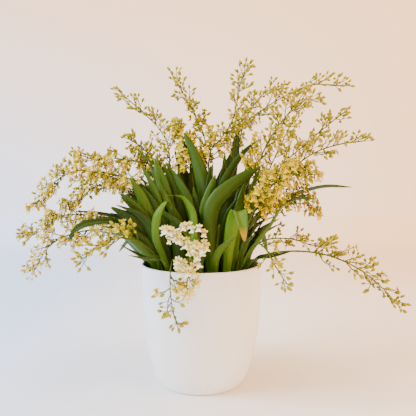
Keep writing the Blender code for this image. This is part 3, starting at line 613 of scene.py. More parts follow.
def petal_paint(name, foot, blade, tints, freckle, roughness=0.55):
    """A petal: its colour runs from its foot to its tip, in one of four tints by its row on the map."""
    p = Paint(name, roughness, Specular_IOR_Level=0.15, Subsurface_Weight=0.12, Subsurface_Scale=0.001)
    p.shader.inputs["Subsurface Radius"].default_value = (1.0, 0.8, 0.4)
    uv = p.uv()
    u, v = p.split(uv)
    row = p.maths("MULTIPLY", v, 4.0)
    along = p.maths("FRACT", row)
    tint = p.ramp(v, [(0.0, tints[0]), (0.25, tints[1]), (0.5, tints[2]), (0.75, tints[3])], constant=True)
    run = p.ramp(along, [(0.05, foot), (0.38, blade), (1.0, blade)])
    base = p.mix(p.range(along, 0.1, 0.5, 0.15, 0.9), run, tint)
    veins = p.noise(p.scaled(uv, 140, 26), 1.0, 2.0)
    base = p.mix(p.range(veins, 0.5, 0.72, 0.0, 0.35), base, freckle)
    p.bump(veins, 0.25, 0.0003)
    return p.colour(base)


YELLOWS = [(192, 175, 2), (177, 158, 1), (201, 186, 8), (162, 142, 1)]
MIXED_TINTS = [(219, 209, 112), (190, 169, 3), (225, 217, 138), (200, 180, 10)]
CREAMS = [(227, 219, 140), (219, 205, 101), (229, 221, 158), (207, 187, 43)]

leaf_dark = leaf_paint("leaf_dark", (24, 39, 2), (37, 57, 3), (55, 81, 4), (64, 92, 6), (75, 92, 5))
leaf_deep = leaf_paint("leaf_deep", (20, 32, 2), (31, 47, 2), (46, 67, 3), (57, 83, 5), (63, 78, 4))
leaf_mid = leaf_paint("leaf_mid", (33, 48, 2), (48, 70, 2), (69, 98, 5), (78, 110, 8), (91, 104, 6))
leaf_fresh = leaf_paint("leaf_fresh", (48, 72, 3), (65, 94, 6), (85, 116, 10), (87, 119, 11), (106, 112, 9))
leaf_tipped = leaf_paint("leaf_tipped", (53, 78, 5), (73, 103, 9), (94, 124, 13), (90, 123, 14), (172, 126, 6), 0.86)

petals = {
    "yellow": petal_paint("petal_yellow", (133, 133, 3), (184, 165, 2), YELLOWS, (158, 131, 2)),
    "mixed": petal_paint("petal_mixed", (158, 150, 14), (208, 190, 50), MIXED_TINTS, (184, 156, 16)),
    "cream": petal_paint("petal_cream", (190, 178, 40), (230, 222, 166), CREAMS, (214, 192, 96)),
}
lips = {
    "yellow": petal_paint("lip_yellow", (158, 118, 1), (200, 180, 4), [(205, 190, 4), (196, 179, 2), (209, 196, 14), (186, 167, 1)], (180, 148, 2), 0.5),
    "mixed": petal_paint("lip_mixed", (188, 144, 5), (217, 202, 72), [(229, 219, 134), (206, 182, 11), (233, 225, 154), (215, 196, 40)], (196, 167, 24), 0.5),
    "cream": petal_paint("lip_cream", (200, 166, 6), (240, 236, 200), [(238, 242, 214), (236, 236, 188), (240, 242, 218), (226, 222, 132)], (228, 210, 140), 0.5),
}


def plain_paint(name, stops, roughness, scale=30.0, bump=0.2, **inputs):
    """A small organ's finish: mottled along and around itself on its own map."""
    p = Paint(name, roughness, **inputs)
    uv = p.uv()
    cloud = p.noise(p.scaled(uv, scale, scale), 1.0, 3.0, 0.6)
    u, v = p.split(uv)
    value = p.maths("ADD", p.maths("MULTIPLY", v, 0.8), p.maths("MULTIPLY", cloud, 0.2))
    p.bump(cloud, bump, 0.0003)
    return p.colour(p.ramp(value, stops))


heart = {
    "yellow": plain_paint("heart_yellow", [(0.0, (158, 112, 2)), (0.5, (188, 146, 4)), (1.0, (208, 178, 10))], 0.5),
    "mixed": plain_paint("heart_mixed", [(0.0, (176, 136, 6)), (0.5, (200, 164, 10)), (1.0, (220, 196, 40))], 0.5),
    "cream": plain_paint("heart_cream", [(0.0, (178, 146, 1)), (0.5, (196, 168, 2)), (1.0, (212, 188, 8))], 0.5),
}
bud_paint = {
    "yellow": plain_paint("bud_gold", [(0.12, (88, 104, 3)), (0.34, (136, 132, 1)), (0.6, (164, 148, 0)), (0.95, (180, 164, 2))], 0.55, Specular_IOR_Level=0.1),
    "mixed": plain_paint("bud_olive", [(0.12, (90, 106, 3)), (0.34, (140, 134, 2)), (0.6, (170, 152, 1)), (0.95, (188, 172, 6))], 0.55, Specular_IOR_Level=0.1),
    "cream": plain_paint("bud_cream", [(0.12, (118, 124, 18)), (0.34, (170, 148, 16)), (0.6, (206, 166, 22)), (0.95, (220, 186, 60))], 0.5),
}
stem_paint = plain_paint("stem_green", [(0.1, (42, 62, 3)), (0.35, (58, 76, 5)), (0.62, (78, 90, 8)), (0.95, (114, 116, 14))], 0.55, 60.0, 0.3, Specular_IOR_Level=0.15)


# ---------------------------------------------------------------- leaves

feet = spaced_feet()
lines = ease_apart(feet)
branches = side_branches(feet, lines)
every = blades(feet)

FRESH = {"leaf_front_curled": leaf_fresh, "leaf_front_bent": leaf_fresh, "leaf_front_folded": leaf_tipped, "leaf_left_low": leaf_mid, "leaf_left_arching": leaf_mid}
DARK = {"leaf_front_broad", "leaf_right_broad", "leaf_centre_right", "leaf_centre_tall", "leaf_left_rounded", "leaf_back_middle", "leaf_rim_left", "leaf_rim_right", "leaf_low_right"}


FILL_TOUCH = 34
BROAD = 1.28  # the shown blades are this much broader than their plain solids


ROLLS = {"leaf_far_right": -42, "leaf_right_arching": -34, "leaf_low_right": -30, "leaf_left_arching": 40, "leaf_left_upper": 36, "leaf_left_low": 34, "leaf_left_rim": 30}


def facing(heading):
    """A heading turned part of the way to the front."""
    away = (270 - heading + 180) % 360 - 180
    return heading + (0.45 * away if abs(away) < 130 else 0)


def smooth_line(line, count):
    """The same line, evenly resampled finer."""
    at_ = np.linspace(0, len(line) - 1, count)
    k = np.clip(at_.astype(int), 0, len(line) - 2)
    f = (at_ - k)[:, None]
    m = np.gradient(line, axis=0)
    return (
        (2 * f**3 - 3 * f**2 + 1) * line[k]
        + (f**3 - 2 * f**2 + f) * m[k]
        + (3 * f**2 - 2 * f**3) * line[k + 1]
        + (f**3 - f**2) * m[k + 1]
    )


def leaf_blade(width, az0, az1, line, dice, broad=1.0, rows=61, cols=9, roll=0.0):
    """A strap leaf: folded along its midrib at the foot, opening to a shallow channel, with a wavy edge and a keel."""
    line = smooth_line(line, rows)
    along, across, up = blade_frame(line, az0, az1)
    t = np.linspace(0, 1, rows)
    lay = np.radians(roll) * np.clip(t / 0.6, 0, 1)[:, None]
    across, up = across * np.cos(lay) + up * np.sin(lay), up * np.cos(lay) - across * np.sin(lay)
    half = blade_profile(t, width * broad) if broad > 1 else 0.5 * width * (0.5 + 0.5 * np.sin(np.clip(t / 0.45, 0, 1) * math.pi / 2)) * np.clip((1.0 - t) / 0.48, 0, 1) ** 0.7
    bend = np.linalg.norm(np.gradient(along, axis=0), axis=1) / np.linalg.norm(np.gradient(line, axis=0), axis=1)
    fold = np.radians(44 - 30 * t)
    side = np.linspace(-1, 1, cols)
    phase, waves = dice.random() * 6.28, 2.0 + 1.5 * dice.random()
    lean = (dice.random() - 0.5) * 0.25
    grid = np.zeros((rows, cols, 3))
    for j, s in enumerate(side):
        ripple = np.sin(t * waves * 6.28 + phase + s * 1.3) * 0.05 * half * abs(s) ** 2 * np.sin(np.pi * t)
        rise = np.minimum(half * np.sin(fold), 0.45 / np.maximum(bend, 1e-4)) * (abs(s) ** 1.35) + ripple + lean * half * s * np.sin(np.pi * t)
        out = half * np.cos(fold) * s
        grid[:, j] = line + across * out[:, None] + up * rise[:, None]
    grid[:, :, 2] = np.where(np.hypot(grid[:, :, 0], grid[:, :, 1]) < 62, np.maximum(grid[:, :, 2], BARK_TOP + 0.3), grid[:, :, 2])
    thick = (0.95 - 0.5 * t)[:, None] * (1 - 0.55 * np.abs(side))[None]
    return pillow(grid, up[:, None, :], thick, (0.02, 0.47, 0.01, 0.985), (0.53, 0.98, 0.01, 0.985))


for k, name in enumerate(LEAVES):
    dice = random.Random(301 + k)
    heap = Heap()
    width, az0, az1, _, _ = every[name]
    heap.add(*leaf_blade(width, facing(az0), facing(az1), lines[name], dice, BROAD, roll=ROLLS.get(name, 0)))
    paint = FRESH.get(name, leaf_dark if name in DARK or dice.random() < 0.35 else leaf_mid)
    piece = heap.piece(name + "_blade", [paint])
    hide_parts(name)

bulb_paint = Paint("pseudobulb", 0.42)
uv = bulb_paint.uv()
ribs = bulb_paint.noise(bulb_paint.scaled(uv, 26, 1.5), 1.0, 2.0)
u, v = bulb_paint.split(uv)
bulb_paint.bump(ribs, 0.5, 0.0008)
bulb_paint.colour(bulb_paint.mix(bulb_paint.range(v, 0.0, 0.3, 0.8, 0.0), bulb_paint.ramp(ribs, [(0.35, (84, 104, 36)), (0.65, (128, 146, 66))]), (150, 132, 84)))

for k, (name, (_, wide, thick, height, turn, leaves)) in enumerate(GROWTHS.items()):
    dice = random.Random(401 + k)
    x, y = feet[name]
    a = math.radians(turn)
    rings = [(0, 0), (0.55, 0.0), (0.85, 0.08), (0.98, 0.24), (1.0, 0.42), (0.92, 0.6), (0.76, 0.78), (0.55, 0.92), (0.34, 1.0), (0, 1.02)]
    points, faces, uvs = egg([(r, z) for r, z in rings], 24, (0.01, 0.99, 0.01, 0.99))
    shaped = []
    for px, py, pz in points:
        b = math.atan2(py, px)
        ridge = 1 + 0.03 * math.cos(8 * b)
        px, py = px * wide * ridge, py * thick * ridge
        shaped.append((x - px * math.sin(a) + py * math.cos(a), y + px * math.cos(a) + py * math.sin(a), BARK_TOP + 0.4 + pz * height))
    heap = Heap()
    heap.add(shaped, faces, uvs)
    piece = heap.piece(name + "_pseudobulb", [bulb_paint.mat])
    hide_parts(name)
    for i in range(len(leaves)):
        heap = Heap()
        width, az0, az1, _, _ = every[name, i]
        heap.add(*leaf_blade(width, facing(az0), facing(az1), lines[name, i], dice, BROAD))
        piece = heap.piece(f"{name}_leaf_{i + 1}", [leaf_dark if (k + i) % 2 else leaf_mid])

# dry papery sheaths wrap the foot of each growth
sheath_paint = Paint("sheath", 0.7)
uv = sheath_paint.uv()
fibres = sheath_paint.noise(sheath_paint.scaled(uv, 60, 3), 1.0, 3.0)
sheath_paint.bump(fibres, 0.5, 0.0006)
sheath_paint.colour(sheath_paint.ramp(fibres, [(0.35, (122, 104, 56)), (0.5, (158, 142, 88)), (0.68, (186, 172, 118))]))
heap = Heap()
for k, (name, (_, wide, thick, height, turn, _)) in enumerate(GROWTHS.items()):
    dice = random.Random(451 + k)
    x, y = feet[name]
    for part in range(2):
        a0 = math.radians(turn + 180 * part + 20)
        rows, cols = 9, 9
        grid = np.zeros((rows, cols, 3))
        ups = np.zeros((rows, cols, 3))
        for i in range(rows):
            t = i / (rows - 1)
            spread = 1.25 * (1 - 0.75 * t**2)
            for j in range(cols):
                b = a0 + (j / (cols - 1) - 0.5) * 2 * spread
                swell = 1.06 + 0.22 * t**2 + 0.1 * math.sin(3 * t)
                px = wide * swell * math.cos(b - math.radians(turn)) * 1.02
                py = thick * swell * math.sin(b - math.radians(turn)) * 1.12
                c, s = math.cos(math.radians(turn)), math.sin(math.radians(turn))
                grid[i, j] = (x - px * s + py * c, y + px * c + py * s, BARK_TOP + 0.4 + t * height * (0.7 + 0.2 * part))
                ups[i, j] = (-(px * s) + py * c, px * c + py * s, 0)
        heap.add(*pillow(grid, unit(ups), 0.4, (0.02, 0.47, 0.01, 0.98), (0.53, 0.98, 0.01, 0.98)))
piece = heap.piece("sheaths", [sheath_paint.mat])

# younger and older leaves fill the fan between the drawn ones: each grows from the bark, leans
# outward, and stays under the crown of the drawn foliage and clear of what is already there
CROWN = ((-150, 160), (-137, 176), (-127, 207), (-112, 226), (-96, 252), (-83, 276), (-55, 286), (-36, 288), (-21, 306), (-1, 272), (17, 277), (30, 300), (44, 330), (58, 298), (73, 302), (82, 262), (93, 235), (112, 186))


def under_crown(line):
    share = -STATION[1] / (line[:, 1] - STATION[1])
    x = STATION[0] + (line[:, 0] - STATION[0]) * share
    z = STATION[2] + (line[:, 2] - STATION[2]) * share
    return (z < np.interp(x, [c[0] for c in CROWN], [c[1] for c in CROWN], left=0, right=0) - 4).all()


def tree_of(points):
    tree = KDTree(len(points))
    for k, p in enumerate(points):
        tree.insert(p, k)
    tree.balance()
    return tree


crowd = [p for n, (width, az0, az1, _, _) in every.items() for p in ribbon(smooth_line(lines[n], 49), width * 1.2, facing(az0), facing(az1), (-1, -0.5, 0, 0.5, 1))]
crowd += [smooth_line(lines[n], 97) for n in SPRAYS]
crowd = [tuple(p) for p in np.vstack(crowd)]
crowd_tree = tree_of(crowd)
dice = random.Random(2024)
fills = []
for k in range(1500):
    turn = math.radians(137.508 * k + dice.uniform(-12, 12))
    leftward = k % 5 < 2
    if leftward:
        turn = math.radians(dice.uniform(155, 215))
    out = np.array([math.cos(turn), math.sin(turn), 0.0])
    foot = out * (6 + 52 * math.sqrt(dice.random())) * (1.0 if not leftward else 0.7 + 0.3 * dice.random())
    reach = dice.uniform(22, 96) if leftward else dice.uniform(8, 62)
    height = dice.uniform(92, 168) - 0.3 * reach if leftward else dice.uniform(105, 178) - 0.55 * reach
    sway = np.array([-out[1], out[0], 0.0]) * dice.uniform(-14, 14)
    if out[1] < -0.35 and not leftward:
        height *= 0.6 + 0.3 * dice.random()
        reach *= 0.5
    width = dice.uniform(19, 27) * (0.95 if leftward else 1.0) * (0.72 + 0.28 * min(1.0, (height + reach) / 150))
    droop = dice.uniform(0.0, 0.1) * reach / 60
    for _ in range(12):
        up_ = np.array([0, 0, height])
        start = np.array([foot[0], foot[1], BARK_TOP + 0.4])
        bow = (0.26, 0.6) if leftward else (0.16, 0.5)
        line = spline([start, start + out * reach * bow[0] + up_ * 0.38 + sway * 0.2, start + out * reach * bow[1] + up_ * 0.76 + sway * 0.6, start + out * reach + up_ * (1 - droop) + sway], 33)
        if under_crown(line):
            break
        height *= 0.93
        reach *= 0.95
    else:
        continue
    if (line[:, 1] < np.where(line[:, 0] < -62, -52, -33)).any():
        continue
    if height < 30 or (np.hypot(line[:, 0], line[:, 1]) > POT_R - 6)[(line[:, 2] < POT_H + 4)].any():
        continue
    away = (270 - math.degrees(turn) + 180) % 360 - 180
    heading = math.degrees(turn) + (0.75 if leftward else 0.5 if abs(away) < 130 else 0) * away + dice.uniform(-22, 22)
    body = np.vstack(ribbon(line, width, heading, heading, (-1, -0.5, 0, 0.5, 1)))
    if sum(crowd_tree.find(b)[2] < 2.2 for b in body) > FILL_TOUCH * (1.5 if leftward else 1.0):
        continue
    crowd += [tuple(b) for b in body]
    crowd_tree = tree_of(crowd)
    fills.append((width, heading, line))
    if len(fills) >= 135:
        break
print("fill leaves", len(fills), "of", k)
owner_names = list(GROWTHS)
heaps = {n: Heap() for n in owner_names}
for k, (width, heading, line) in enumerate(fills):
    near = min(owner_names, key=lambda n: np.linalg.norm(np.array(feet[n]) - line[0, :2]))
    heaps[near].add(*leaf_blade(width, heading, heading, line, random.Random(700 + k), 1.0, 45, 9), (k * 7) % 3)
for name, heap in heaps.items():
    if heap.faces:
        piece = heap.piece(name + "_fan", [leaf_dark, leaf_deep, leaf_mid])

# ---------------------------------------------------------------- flowers and buds

FLOWER_ROW = 0.25


def petal_grid(length, half, rows, cols, cup, curl, notch=0.0):
    """Places over a petal that lies along +Y and faces +Z."""
    t = np.linspace(0, 1, rows)
    s = np.linspace(-1, 1, cols)
    h = np.interp(t, [k[0] for k in half], [k[1] for k in half])
    grid = np.zeros((rows, cols, 3))
    grid[:, :, 0] = h[:, None] * s[None]
    grid[:, :, 1] = length * t[:, None] - notch * (t[:, None] ** 4) * (1 - np.abs(s)[None])
    grid[:, :, 2] = curl * t[:, None] ** 2 + cup * (s[None] ** 2) * np.sin(np.pi * np.clip(t, 0.05, 0.95))[:, None]
    return grid


def turned_about(points, axis, angle):
    c, s = math.cos(angle), math.sin(angle)
    i, j = {"x": (1, 2), "y": (2, 0), "z": (0, 1)}[axis]
    out = points.copy()
    out[..., i] = points[..., i] * c - points[..., j] * s
    out[..., j] = points[..., i] * s + points[..., j] * c
    return out


def flower_shape(row, openness, dice):
    """One flower 12 mm across facing +Z, its lip towards -Y: sepals, petals, a broad notched lip and a small column."""
    y0 = row * FLOWER_ROW
    points, faces, uvs, mats, count = [], [], [], [], 0

    def put(p, f, u, m):
        nonlocal count
        points.append(p)
        faces.extend(tuple(i + count for i in x) for x in f)
        uvs.extend([[(a, y0 + b * FLOWER_ROW) for a, b in c] for c in u])
        mats.extend([m] * len(f))
        count += len(p)

    sepal = [(0, 0.45), (0.3, 1.0), (0.62, 1.25), (0.88, 0.75), (1, 0.15)]
    broad = [(0, 0.5), (0.3, 1.2), (0.65, 1.6), (0.9, 1.05), (1, 0.3)]
    for angle, shape, length, z in (
        (0, sepal, 4.3, -0.3),
        (58, broad, 4.5, 0.0),
        (-58, broad, 4.5, 0.0),
        (140, sepal, 3.9, -0.6),
        (-140, sepal, 3.9, -0.6),
    ):
        grid = petal_grid(length * (0.94 + 0.12 * dice.random()), shape, 5, 5, 0.45 + 0.3 * dice.random(), -0.9 * openness + 0.6, 0)
        grid[:, :, 1] += 0.5
        grid = turned_about(grid, "x", math.radians(28 * (1 - openness) + 6 * (dice.random() - 0.5)))
        grid = turned_about(grid, "z", math.radians(angle + 8 * (dice.random() - 0.5)))
        grid[:, :, 2] += z
        p, f, u = pillow(grid, np.array([0, 0, 1.0]), 0.3, (0.02, 0.30, 0.06, 0.94), (0.32, 0.46, 0.06, 0.94))
        put(p, f, u, 0)
    lip = [(0, 0.7), (0.1, 1.5), (0.2, 1.9), (0.32, 1.2), (0.46, 1.9), (0.66, 3.7), (0.84, 4.1), (0.95, 3.3), (1, 2.4)]
    grid = petal_grid(6.9, lip, 9, 7, -0.5, -1.1 * openness, 1.3)
    grid[:, :, 2] += 0.35 * np.sin(np.linspace(0, 9, 9))[:, None] * (np.abs(np.linspace(-1, 1, 7)) ** 2)[None]
    grid[:, :, 1] += 0.3
    grid = turned_about(grid, "x", math.radians(16))
    grid = turned_about(grid, "z", math.pi)
    grid[:, :, 2] += 0.4
    p, f, u = pillow(grid, np.array([0, 0, 1.0]), 0.35, (0.50, 0.76, 0.06, 0.94), (0.78, 0.88, 0.06, 0.94))
    put(p, f, u, 1)
    # the raised heart at the lip's foot, in three small lobes, and the column over it
    for dx, dy, size in ((-0.55, -1.5, 0.62), (0.55, -1.5, 0.62), (0, -2.3, 0.55)):
        p, f, u = egg([(0, -0.8), (0.8, -0.4), (1.0, 0.2), (0.6, 0.8), (0, 1.0)], 6, (0.9, 0.98, 0.06, 0.6))
        put(p * size + np.array([dx, dy, 1.0]), f, u, 2)
    p, f, u = egg([(0, -0.3), (0.7, 0.0), (0.8, 0.9), (0.95, 1.5), (0.5, 2.0), (0, 2.1)], 6, (0.9, 0.98, 0.62, 0.94))
    put(turned_about(p, "x", math.radians(38)) + np.array([0, 0.1, 0.1]), f, u, 2)
    # the back of the flower tapers to its stalk
    p, f, u = egg([(0, -2.6), (0.32, -2.2), (0.5, -1.2), (0.85, -0.3), (0.6, 0.2), (0, 0.3)], 6, (0.34, 0.44, 0.06, 0.3))
    put(p, f, u, 0)
    return np.vstack(points), faces, uvs, mats


shape_dice = random.Random(77)
FLOWERS = [flower_shape(k % 4, 0.35 + 0.65 * (k // 4) / 2, shape_dice) for k in range(12)]
BUDS = []
for k in range(4):
    r = (0.0, 0.3, 0.66, 0.84, 0.78, 0.5, 0.18, 0.0)
    z = (-1.5, -1.25, -0.7, 0.0, 0.7, 1.35, 1.85, 2.0)
    p, f, u = egg(list(zip(r, z)), 8, (0.02, 0.98, 0.02 + 0.0 * k, 0.98))
    bend = 0.05 + 0.05 * k
    p = p.copy()
    p[:, 0] += bend * p[:, 2] ** 2
    p[:, 0] *= 1 + 0.06 * k
    BUDS.append((p, f, u))


def set_down(shape, centre, face, size, spin):
    """A shape's points with +Z turned to face, spun about it, at a place."""
    face = unit(np.asarray(face, float))
    down = np.array([0, 0, -1.0]) + 1e-4
    down = unit(down - (down * face).sum() * face)
    # the shape's -Y goes to down
    right = np.cross(down * -1, face)
    m = np.stack([right, -down, face])
    c, s = math.cos(spin), math.sin(spin)
    turn = np.array([[c, s, 0], [-s, c, 0], [0, 0, 1]])
    return (shape * size) @ (turn @ m) + centre


CREAM = ("spray_low_left_outer", "spray_low_left_upper", "spray_front_left_cluster", "spray_front_cluster", "spray_left_drooping")
# name: share of open flowers, how soon they give way to buds, extra side branches, organs on
# one, size of a flower
HABIT = {
    "spray_left_upper": (0.62, 2.4, 16, 5, 0.86),
    "spray_crown_left": (0.97, 0.7, 22, 7, 1.0),
    "spray_crown_top": (0.72, 2.3, 19, 5, 0.86),
    "spray_left_buds": (0.8, 1.3, 20, 6, 0.85),
    "spray_left_middle": (0.9, 1.0, 26, 7, 1.06),
    "spray_left_long": (0.9, 0.8, 28, 7, 1.1),
    "spray_left_drooping": (0.97, 0.5, 28, 7, 1.14),
    "spray_centre_tall": (0.62, 2.5, 17, 4, 0.85),
    "spray_right_tall": (0.62, 2.5, 15, 4, 0.85),
    "spray_right_upper": (0.62, 2.3, 18, 4, 0.9),
    "spray_right_crown": (0.8, 1.3, 17, 6, 0.9),
    "spray_back_crown": (0.8, 1.4, 15, 5, 0.9),
    "spray_right_fan": (0.7, 2.2, 18, 4, 0.92),
    "spray_right_middle": (0.62, 2.3, 16, 4, 0.92),
    "spray_right_dense": (0.98, 0.4, 19, 6, 1.12),
    "spray_right_low": (0.96, 0.4, 17, 6, 1.12),
    "spray_low_left_outer": (0.72, 0.4, 20, 6, 1.05),
    "spray_low_left_upper": (0.88, 0.4, 24, 7, 1.08),
    "spray_low_left_front": (0.22, 0.6, 9, 4, 0.85),
    "spray_low_right_arch": (0.22, 0.8, 15, 5, 0.85),
    "spray_low_right_short": (0.3, 1.0, 10, 4, 0.85),
    "spray_front_right": (0.25, 1.0, 6, 4, 0.8),
    "spray_front_hanging": (0.15, 1.0, 6, 3, 0.8),
    "spray_front_left_cluster": (1.0, 0.0, 3, 4, 0.95),
    "spray_front_cluster": (1.0, 0.0, 7, 5, 0.95),
    "spray_back_drooping": (0.8, 1.0, 14, 5, 0.85),
}
MIXED = ("spray_low_left_upper", "spray_left_drooping", "spray_left_long")

leaf_tree = crowd_tree = tree_of([tuple(p) for p in np.vstack([b for w, h, l in fills for b in ribbon(l, w, h, h, (-1, -0.5, 0, 0.5, 1))] + [p for n, (width, az0, az1, _, _) in every.items() for p in ribbon(smooth_line(lines[n], 49), width * 1.2, facing(az0), facing(az1), (-1, -0.5, 0, 0.5, 1))])])
taken_flowers = np.zeros((0, 3))
tally = {"flowers": 0, "buds": 0}


def clear_of_leaves(places, gap):
    return all(leaf_tree.find(p)[2] > gap for p in places)


def outside_pot(p, gap):
    r, z = math.hypot(p[0], p[1]), p[2]
    return z > POT_H + gap or r > POT_R + gap


for k, name in enumerate(SPRAYS):
    share, fade, extra, organs, flower_size = HABIT[name]
    dice = random.Random(900 + 13 * k)
    kind = "mixed" if name in MIXED else "cream" if name in CREAM else "yellow"
    line = smooth_line(lines[name], 97)
    t = np.linspace(0, 1, 97)
    count = 97
    stems, blooms, gold = Heap(), Heap(), Heap()
    # the main stem thins towards its tip and swells a little at each joint
    joints = [0.14 + 0.11 * i for i in range(8)]
    radii = (1.3 - 0.7 * t) * (0.62 if name == "spray_front_hanging" else 1.0) + sum(0.22 * np.exp(-(((t - j) / 0.006) ** 2)) for j in joints)
    line[:, 2] = np.where(np.hypot(line[:, 0], line[:, 1]) < 62, np.maximum(line[:, 2], BARK_TOP + 0.6), line[:, 2])
    stems.add(*tube(line, radii, 8, (0.01, 0.4, 0.01, 0.99)))
    # side branches: those of the solid, and finer ones between them
    _, begin, _, longest, shortest, _ = SPRAYS[name]
    twigs = []
    for at_t, root, sprout, mid, end, face, _, _ in branches[name]:
        twigs.append((at_t, np.asarray(root), np.asarray(mid), np.asarray(end), True))
    for i in range(extra):
        part = (i + 0.15 + 0.5 * dice.random()) / extra
        at_t = begin + (0.97 - begin) * part
        where = at_t * (count - 1)
        i0 = int(where)
        root = line[i0] + (line[min(i0 + 1, count - 1)] - line[i0]) * (where - i0)
        along = unit(line[min(i0 + 1, count - 1)] - line[max(i0 - 1, 0)])
        flat = unit(np.cross(along, [0, 0, 1.0]) + 1e-6)
        rise = np.cross(flat, along)
        length = (longest + (shortest - longest) * part) * (0.6 + 0.5 * dice.random()) * (1 + 0.4 * part)
        turn = dice.random() * 360
        for attempt in range(8):
            a = math.radians(turn + attempt * 47)
            sprout = unit(along * (0.7 + 0.5 * part) + flat * math.cos(a) * 0.8 + rise * math.sin(a) * 0.8)
            mid = root + sprout * length * 0.5
            end = mid + unit(sprout * 0.6 + along * 0.3 + np.array([0, 0, 0.22])) * length * 0.5
            if not (outside_pot(end, 9) and outside_pot(mid, 6)) or not clear_of_leaves([mid, end], 4.5):
                continue
            twigs.append((at_t, root, mid, end, False))
            break
    twigs.append((1.0, line[-5], line[-3], line[-1] + (line[-1] - line[-3]) * 0.3, False))
    for at_t, root, mid, end, solid in twigs:
        part = (at_t - begin) / (1 - begin)
        path = spline([root, mid + np.array([dice.uniform(-0.6, 0.6), dice.uniform(-0.6, 0.6), 0.4]), end], 9)
        reach = np.linalg.norm(end - root)
        base_r = 0.78 - 0.22 * part
        if at_t < 1:
            stems.add(*tube(path, np.linspace(base_r, 0.42, 9), 6, (0.45, 0.68, 0.3 + 0.3 * part, 0.99)))
        number = max(2, min(organs, int(reach / 3.2)) + (1 if dice.random() < 0.4 else 0))
        way = unit(path[-1] - path[0])
        flat = unit(np.cross(way, [0, 0, 1.0]) + 1e-6)
        rise = np.cross(flat, way)
        for o in range(number):
            s = 1 - 0.78 * o / max(1, number)
            at_o = s * 8
            j = min(int(at_o), 7)
            hold = path[j] + (path[j + 1] - path[j]) * (at_o - j)
            bloom_now = dice.random() < share * (1.0 + 0.35 * fade - fade * part) * (0.6 if o == 0 and fade > 0.5 else 1.0)
            stalk = 4.8 + 3.2 * dice.random()
            if o == 0:
                aim = unit(way + 0.25 * np.array([dice.uniform(-1, 1), dice.uniform(-1, 1), dice.uniform(-0.6, 1)]))
                stalk *= 0.5
            else:
                a = math.radians(180 * (o % 2) + dice.uniform(-50, 50))
                aim = unit(way * 0.55 + flat * math.cos(a) * 0.8 + rise * math.sin(a) * 0.8 + np.array([0, 0, 0.12]))
            tip = hold + aim * stalk
            gap = 5.2 if bloom_now else 2.6
            if not outside_pot(tip, gap + 1):
                continue
            if bloom_now and len(taken_flowers) and np.linalg.norm(taken_flowers - tip, axis=1).min() < 5.4:
                bloom_now = False
                tip = hold + aim * stalk * 0.7
                gap = 2.2
            if not clear_of_leaves([tip], gap * 0.75):
                continue
            bend = (hold + tip) / 2 + np.array([0, 0, -0.35])
            stems.add(*tube(spline([hold, bend, tip], 5), [0.38, 0.34, 0.32, 0.31, 0.34], 5, (0.75, 0.9, 0.45, 0.99)))
            if bloom_now:
                taken_flowers = np.vstack([taken_flowers, tip])
                # flowers turn their faces out from the plant and a little up
                out = unit(tip * np.array([1, 1, 0]) + np.array([0, -28.0, 0]))
                face = unit(aim * 0.35 + out * 0.75 + np.array([dice.uniform(-0.35, 0.35), dice.uniform(-0.35, 0.35) - 0.15, dice.uniform(-0.1, 0.5)]))
                shape = FLOWERS[dice.randrange(12)]
                size = flower_size * dice.uniform(0.84, 1.1)
                blooms.add(set_down(shape[0], tip + face * 2.2 * size, face, size, dice.uniform(-0.5, 0.5)), shape[1], shape[2], shape[3])
                tally["flowers"] += 1
            else:
                shape = BUDS[dice.randrange(4)]
                size = dice.uniform(1.75, 2.45) * (1.0 - 0.14 * part)
                gold.add(set_down(shape[0], tip + aim * 1.1 * size, aim, size, dice.uniform(0, 6.28)), shape[1], shape[2])
                tally["buds"] += 1
    piece = stems.piece(name + "_stems", [stem_paint])
    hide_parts(name)
    if blooms.faces:
        piece = blooms.piece(name + "_flowers", [petals[kind], lips[kind], heart[kind]])
    if gold.faces:
        piece = gold.piece(name + "_buds", [bud_paint[kind]])
print("tally", tally)

# ---------------------------------------------------------------- the pots and the bark


def turned_piece(name, profile, sides, paint, rounded=0):
    """A solid turned about the pot's axis, mapped around and along its outline."""
    profile = [np.array(p, float) for p in profile]
    for _ in range(rounded):
        finer = [profile[0]]
        for a, b in zip(profile, profile[1:]):
            finer += [a * 0.75 + b * 0.25, a * 0.25 + b * 0.75]
        profile = finer + [profile[-1]]
    run = np.concatenate([[0], np.cumsum([np.linalg.norm(b - a) for a, b in zip(profile, profile[1:])])])
    run /= run[-1]
    points, faces, uvs, rings = [], [], [], []
    for r, z in profile:
        if r < 1e-6:
            rings.append([len(points)])
            points.append((0, 0, z))
        else:
            rings.append(list(range(len(points), len(points) + sides)))
            points += [(r * math.cos(2 * math.pi * s / sides), r * math.sin(2 * math.pi * s / sides), z) for s in range(sides)]
    for k, (low, high) in enumerate(zip(rings, rings[1:])):
        va, vb = 0.01 + 0.98 * run[k], 0.01 + 0.98 * run[k + 1]
        for s in range(sides):
            n = (s + 1) % sides
            ua, ub = s / sides, (s + 1) / sides
            if len(low) == 1:
                faces.append((low[0], high[n], high[s]))
                uvs.append([((ua + ub) / 2, va), (ub, vb), (ua, vb)])
            elif len(high) == 1:
                faces.append((low[s], low[n], high[0]))
                uvs.append([(ua, va), (ub, va), ((ua + ub) / 2, vb)])
            else:
                faces.append((low[s], low[n], high[n], high[s]))
                uvs.append([(ua, va), (ub, va), (ub, vb), (ua, vb)])
    heap = Heap()
    heap.add(points, faces, uvs)
    return heap.piece(name, [paint])


def pot_radius(z):
    return FOOT_R + (POT_R - FOOT_R) * (1 - (1 - z / POT_H) ** 3.2)


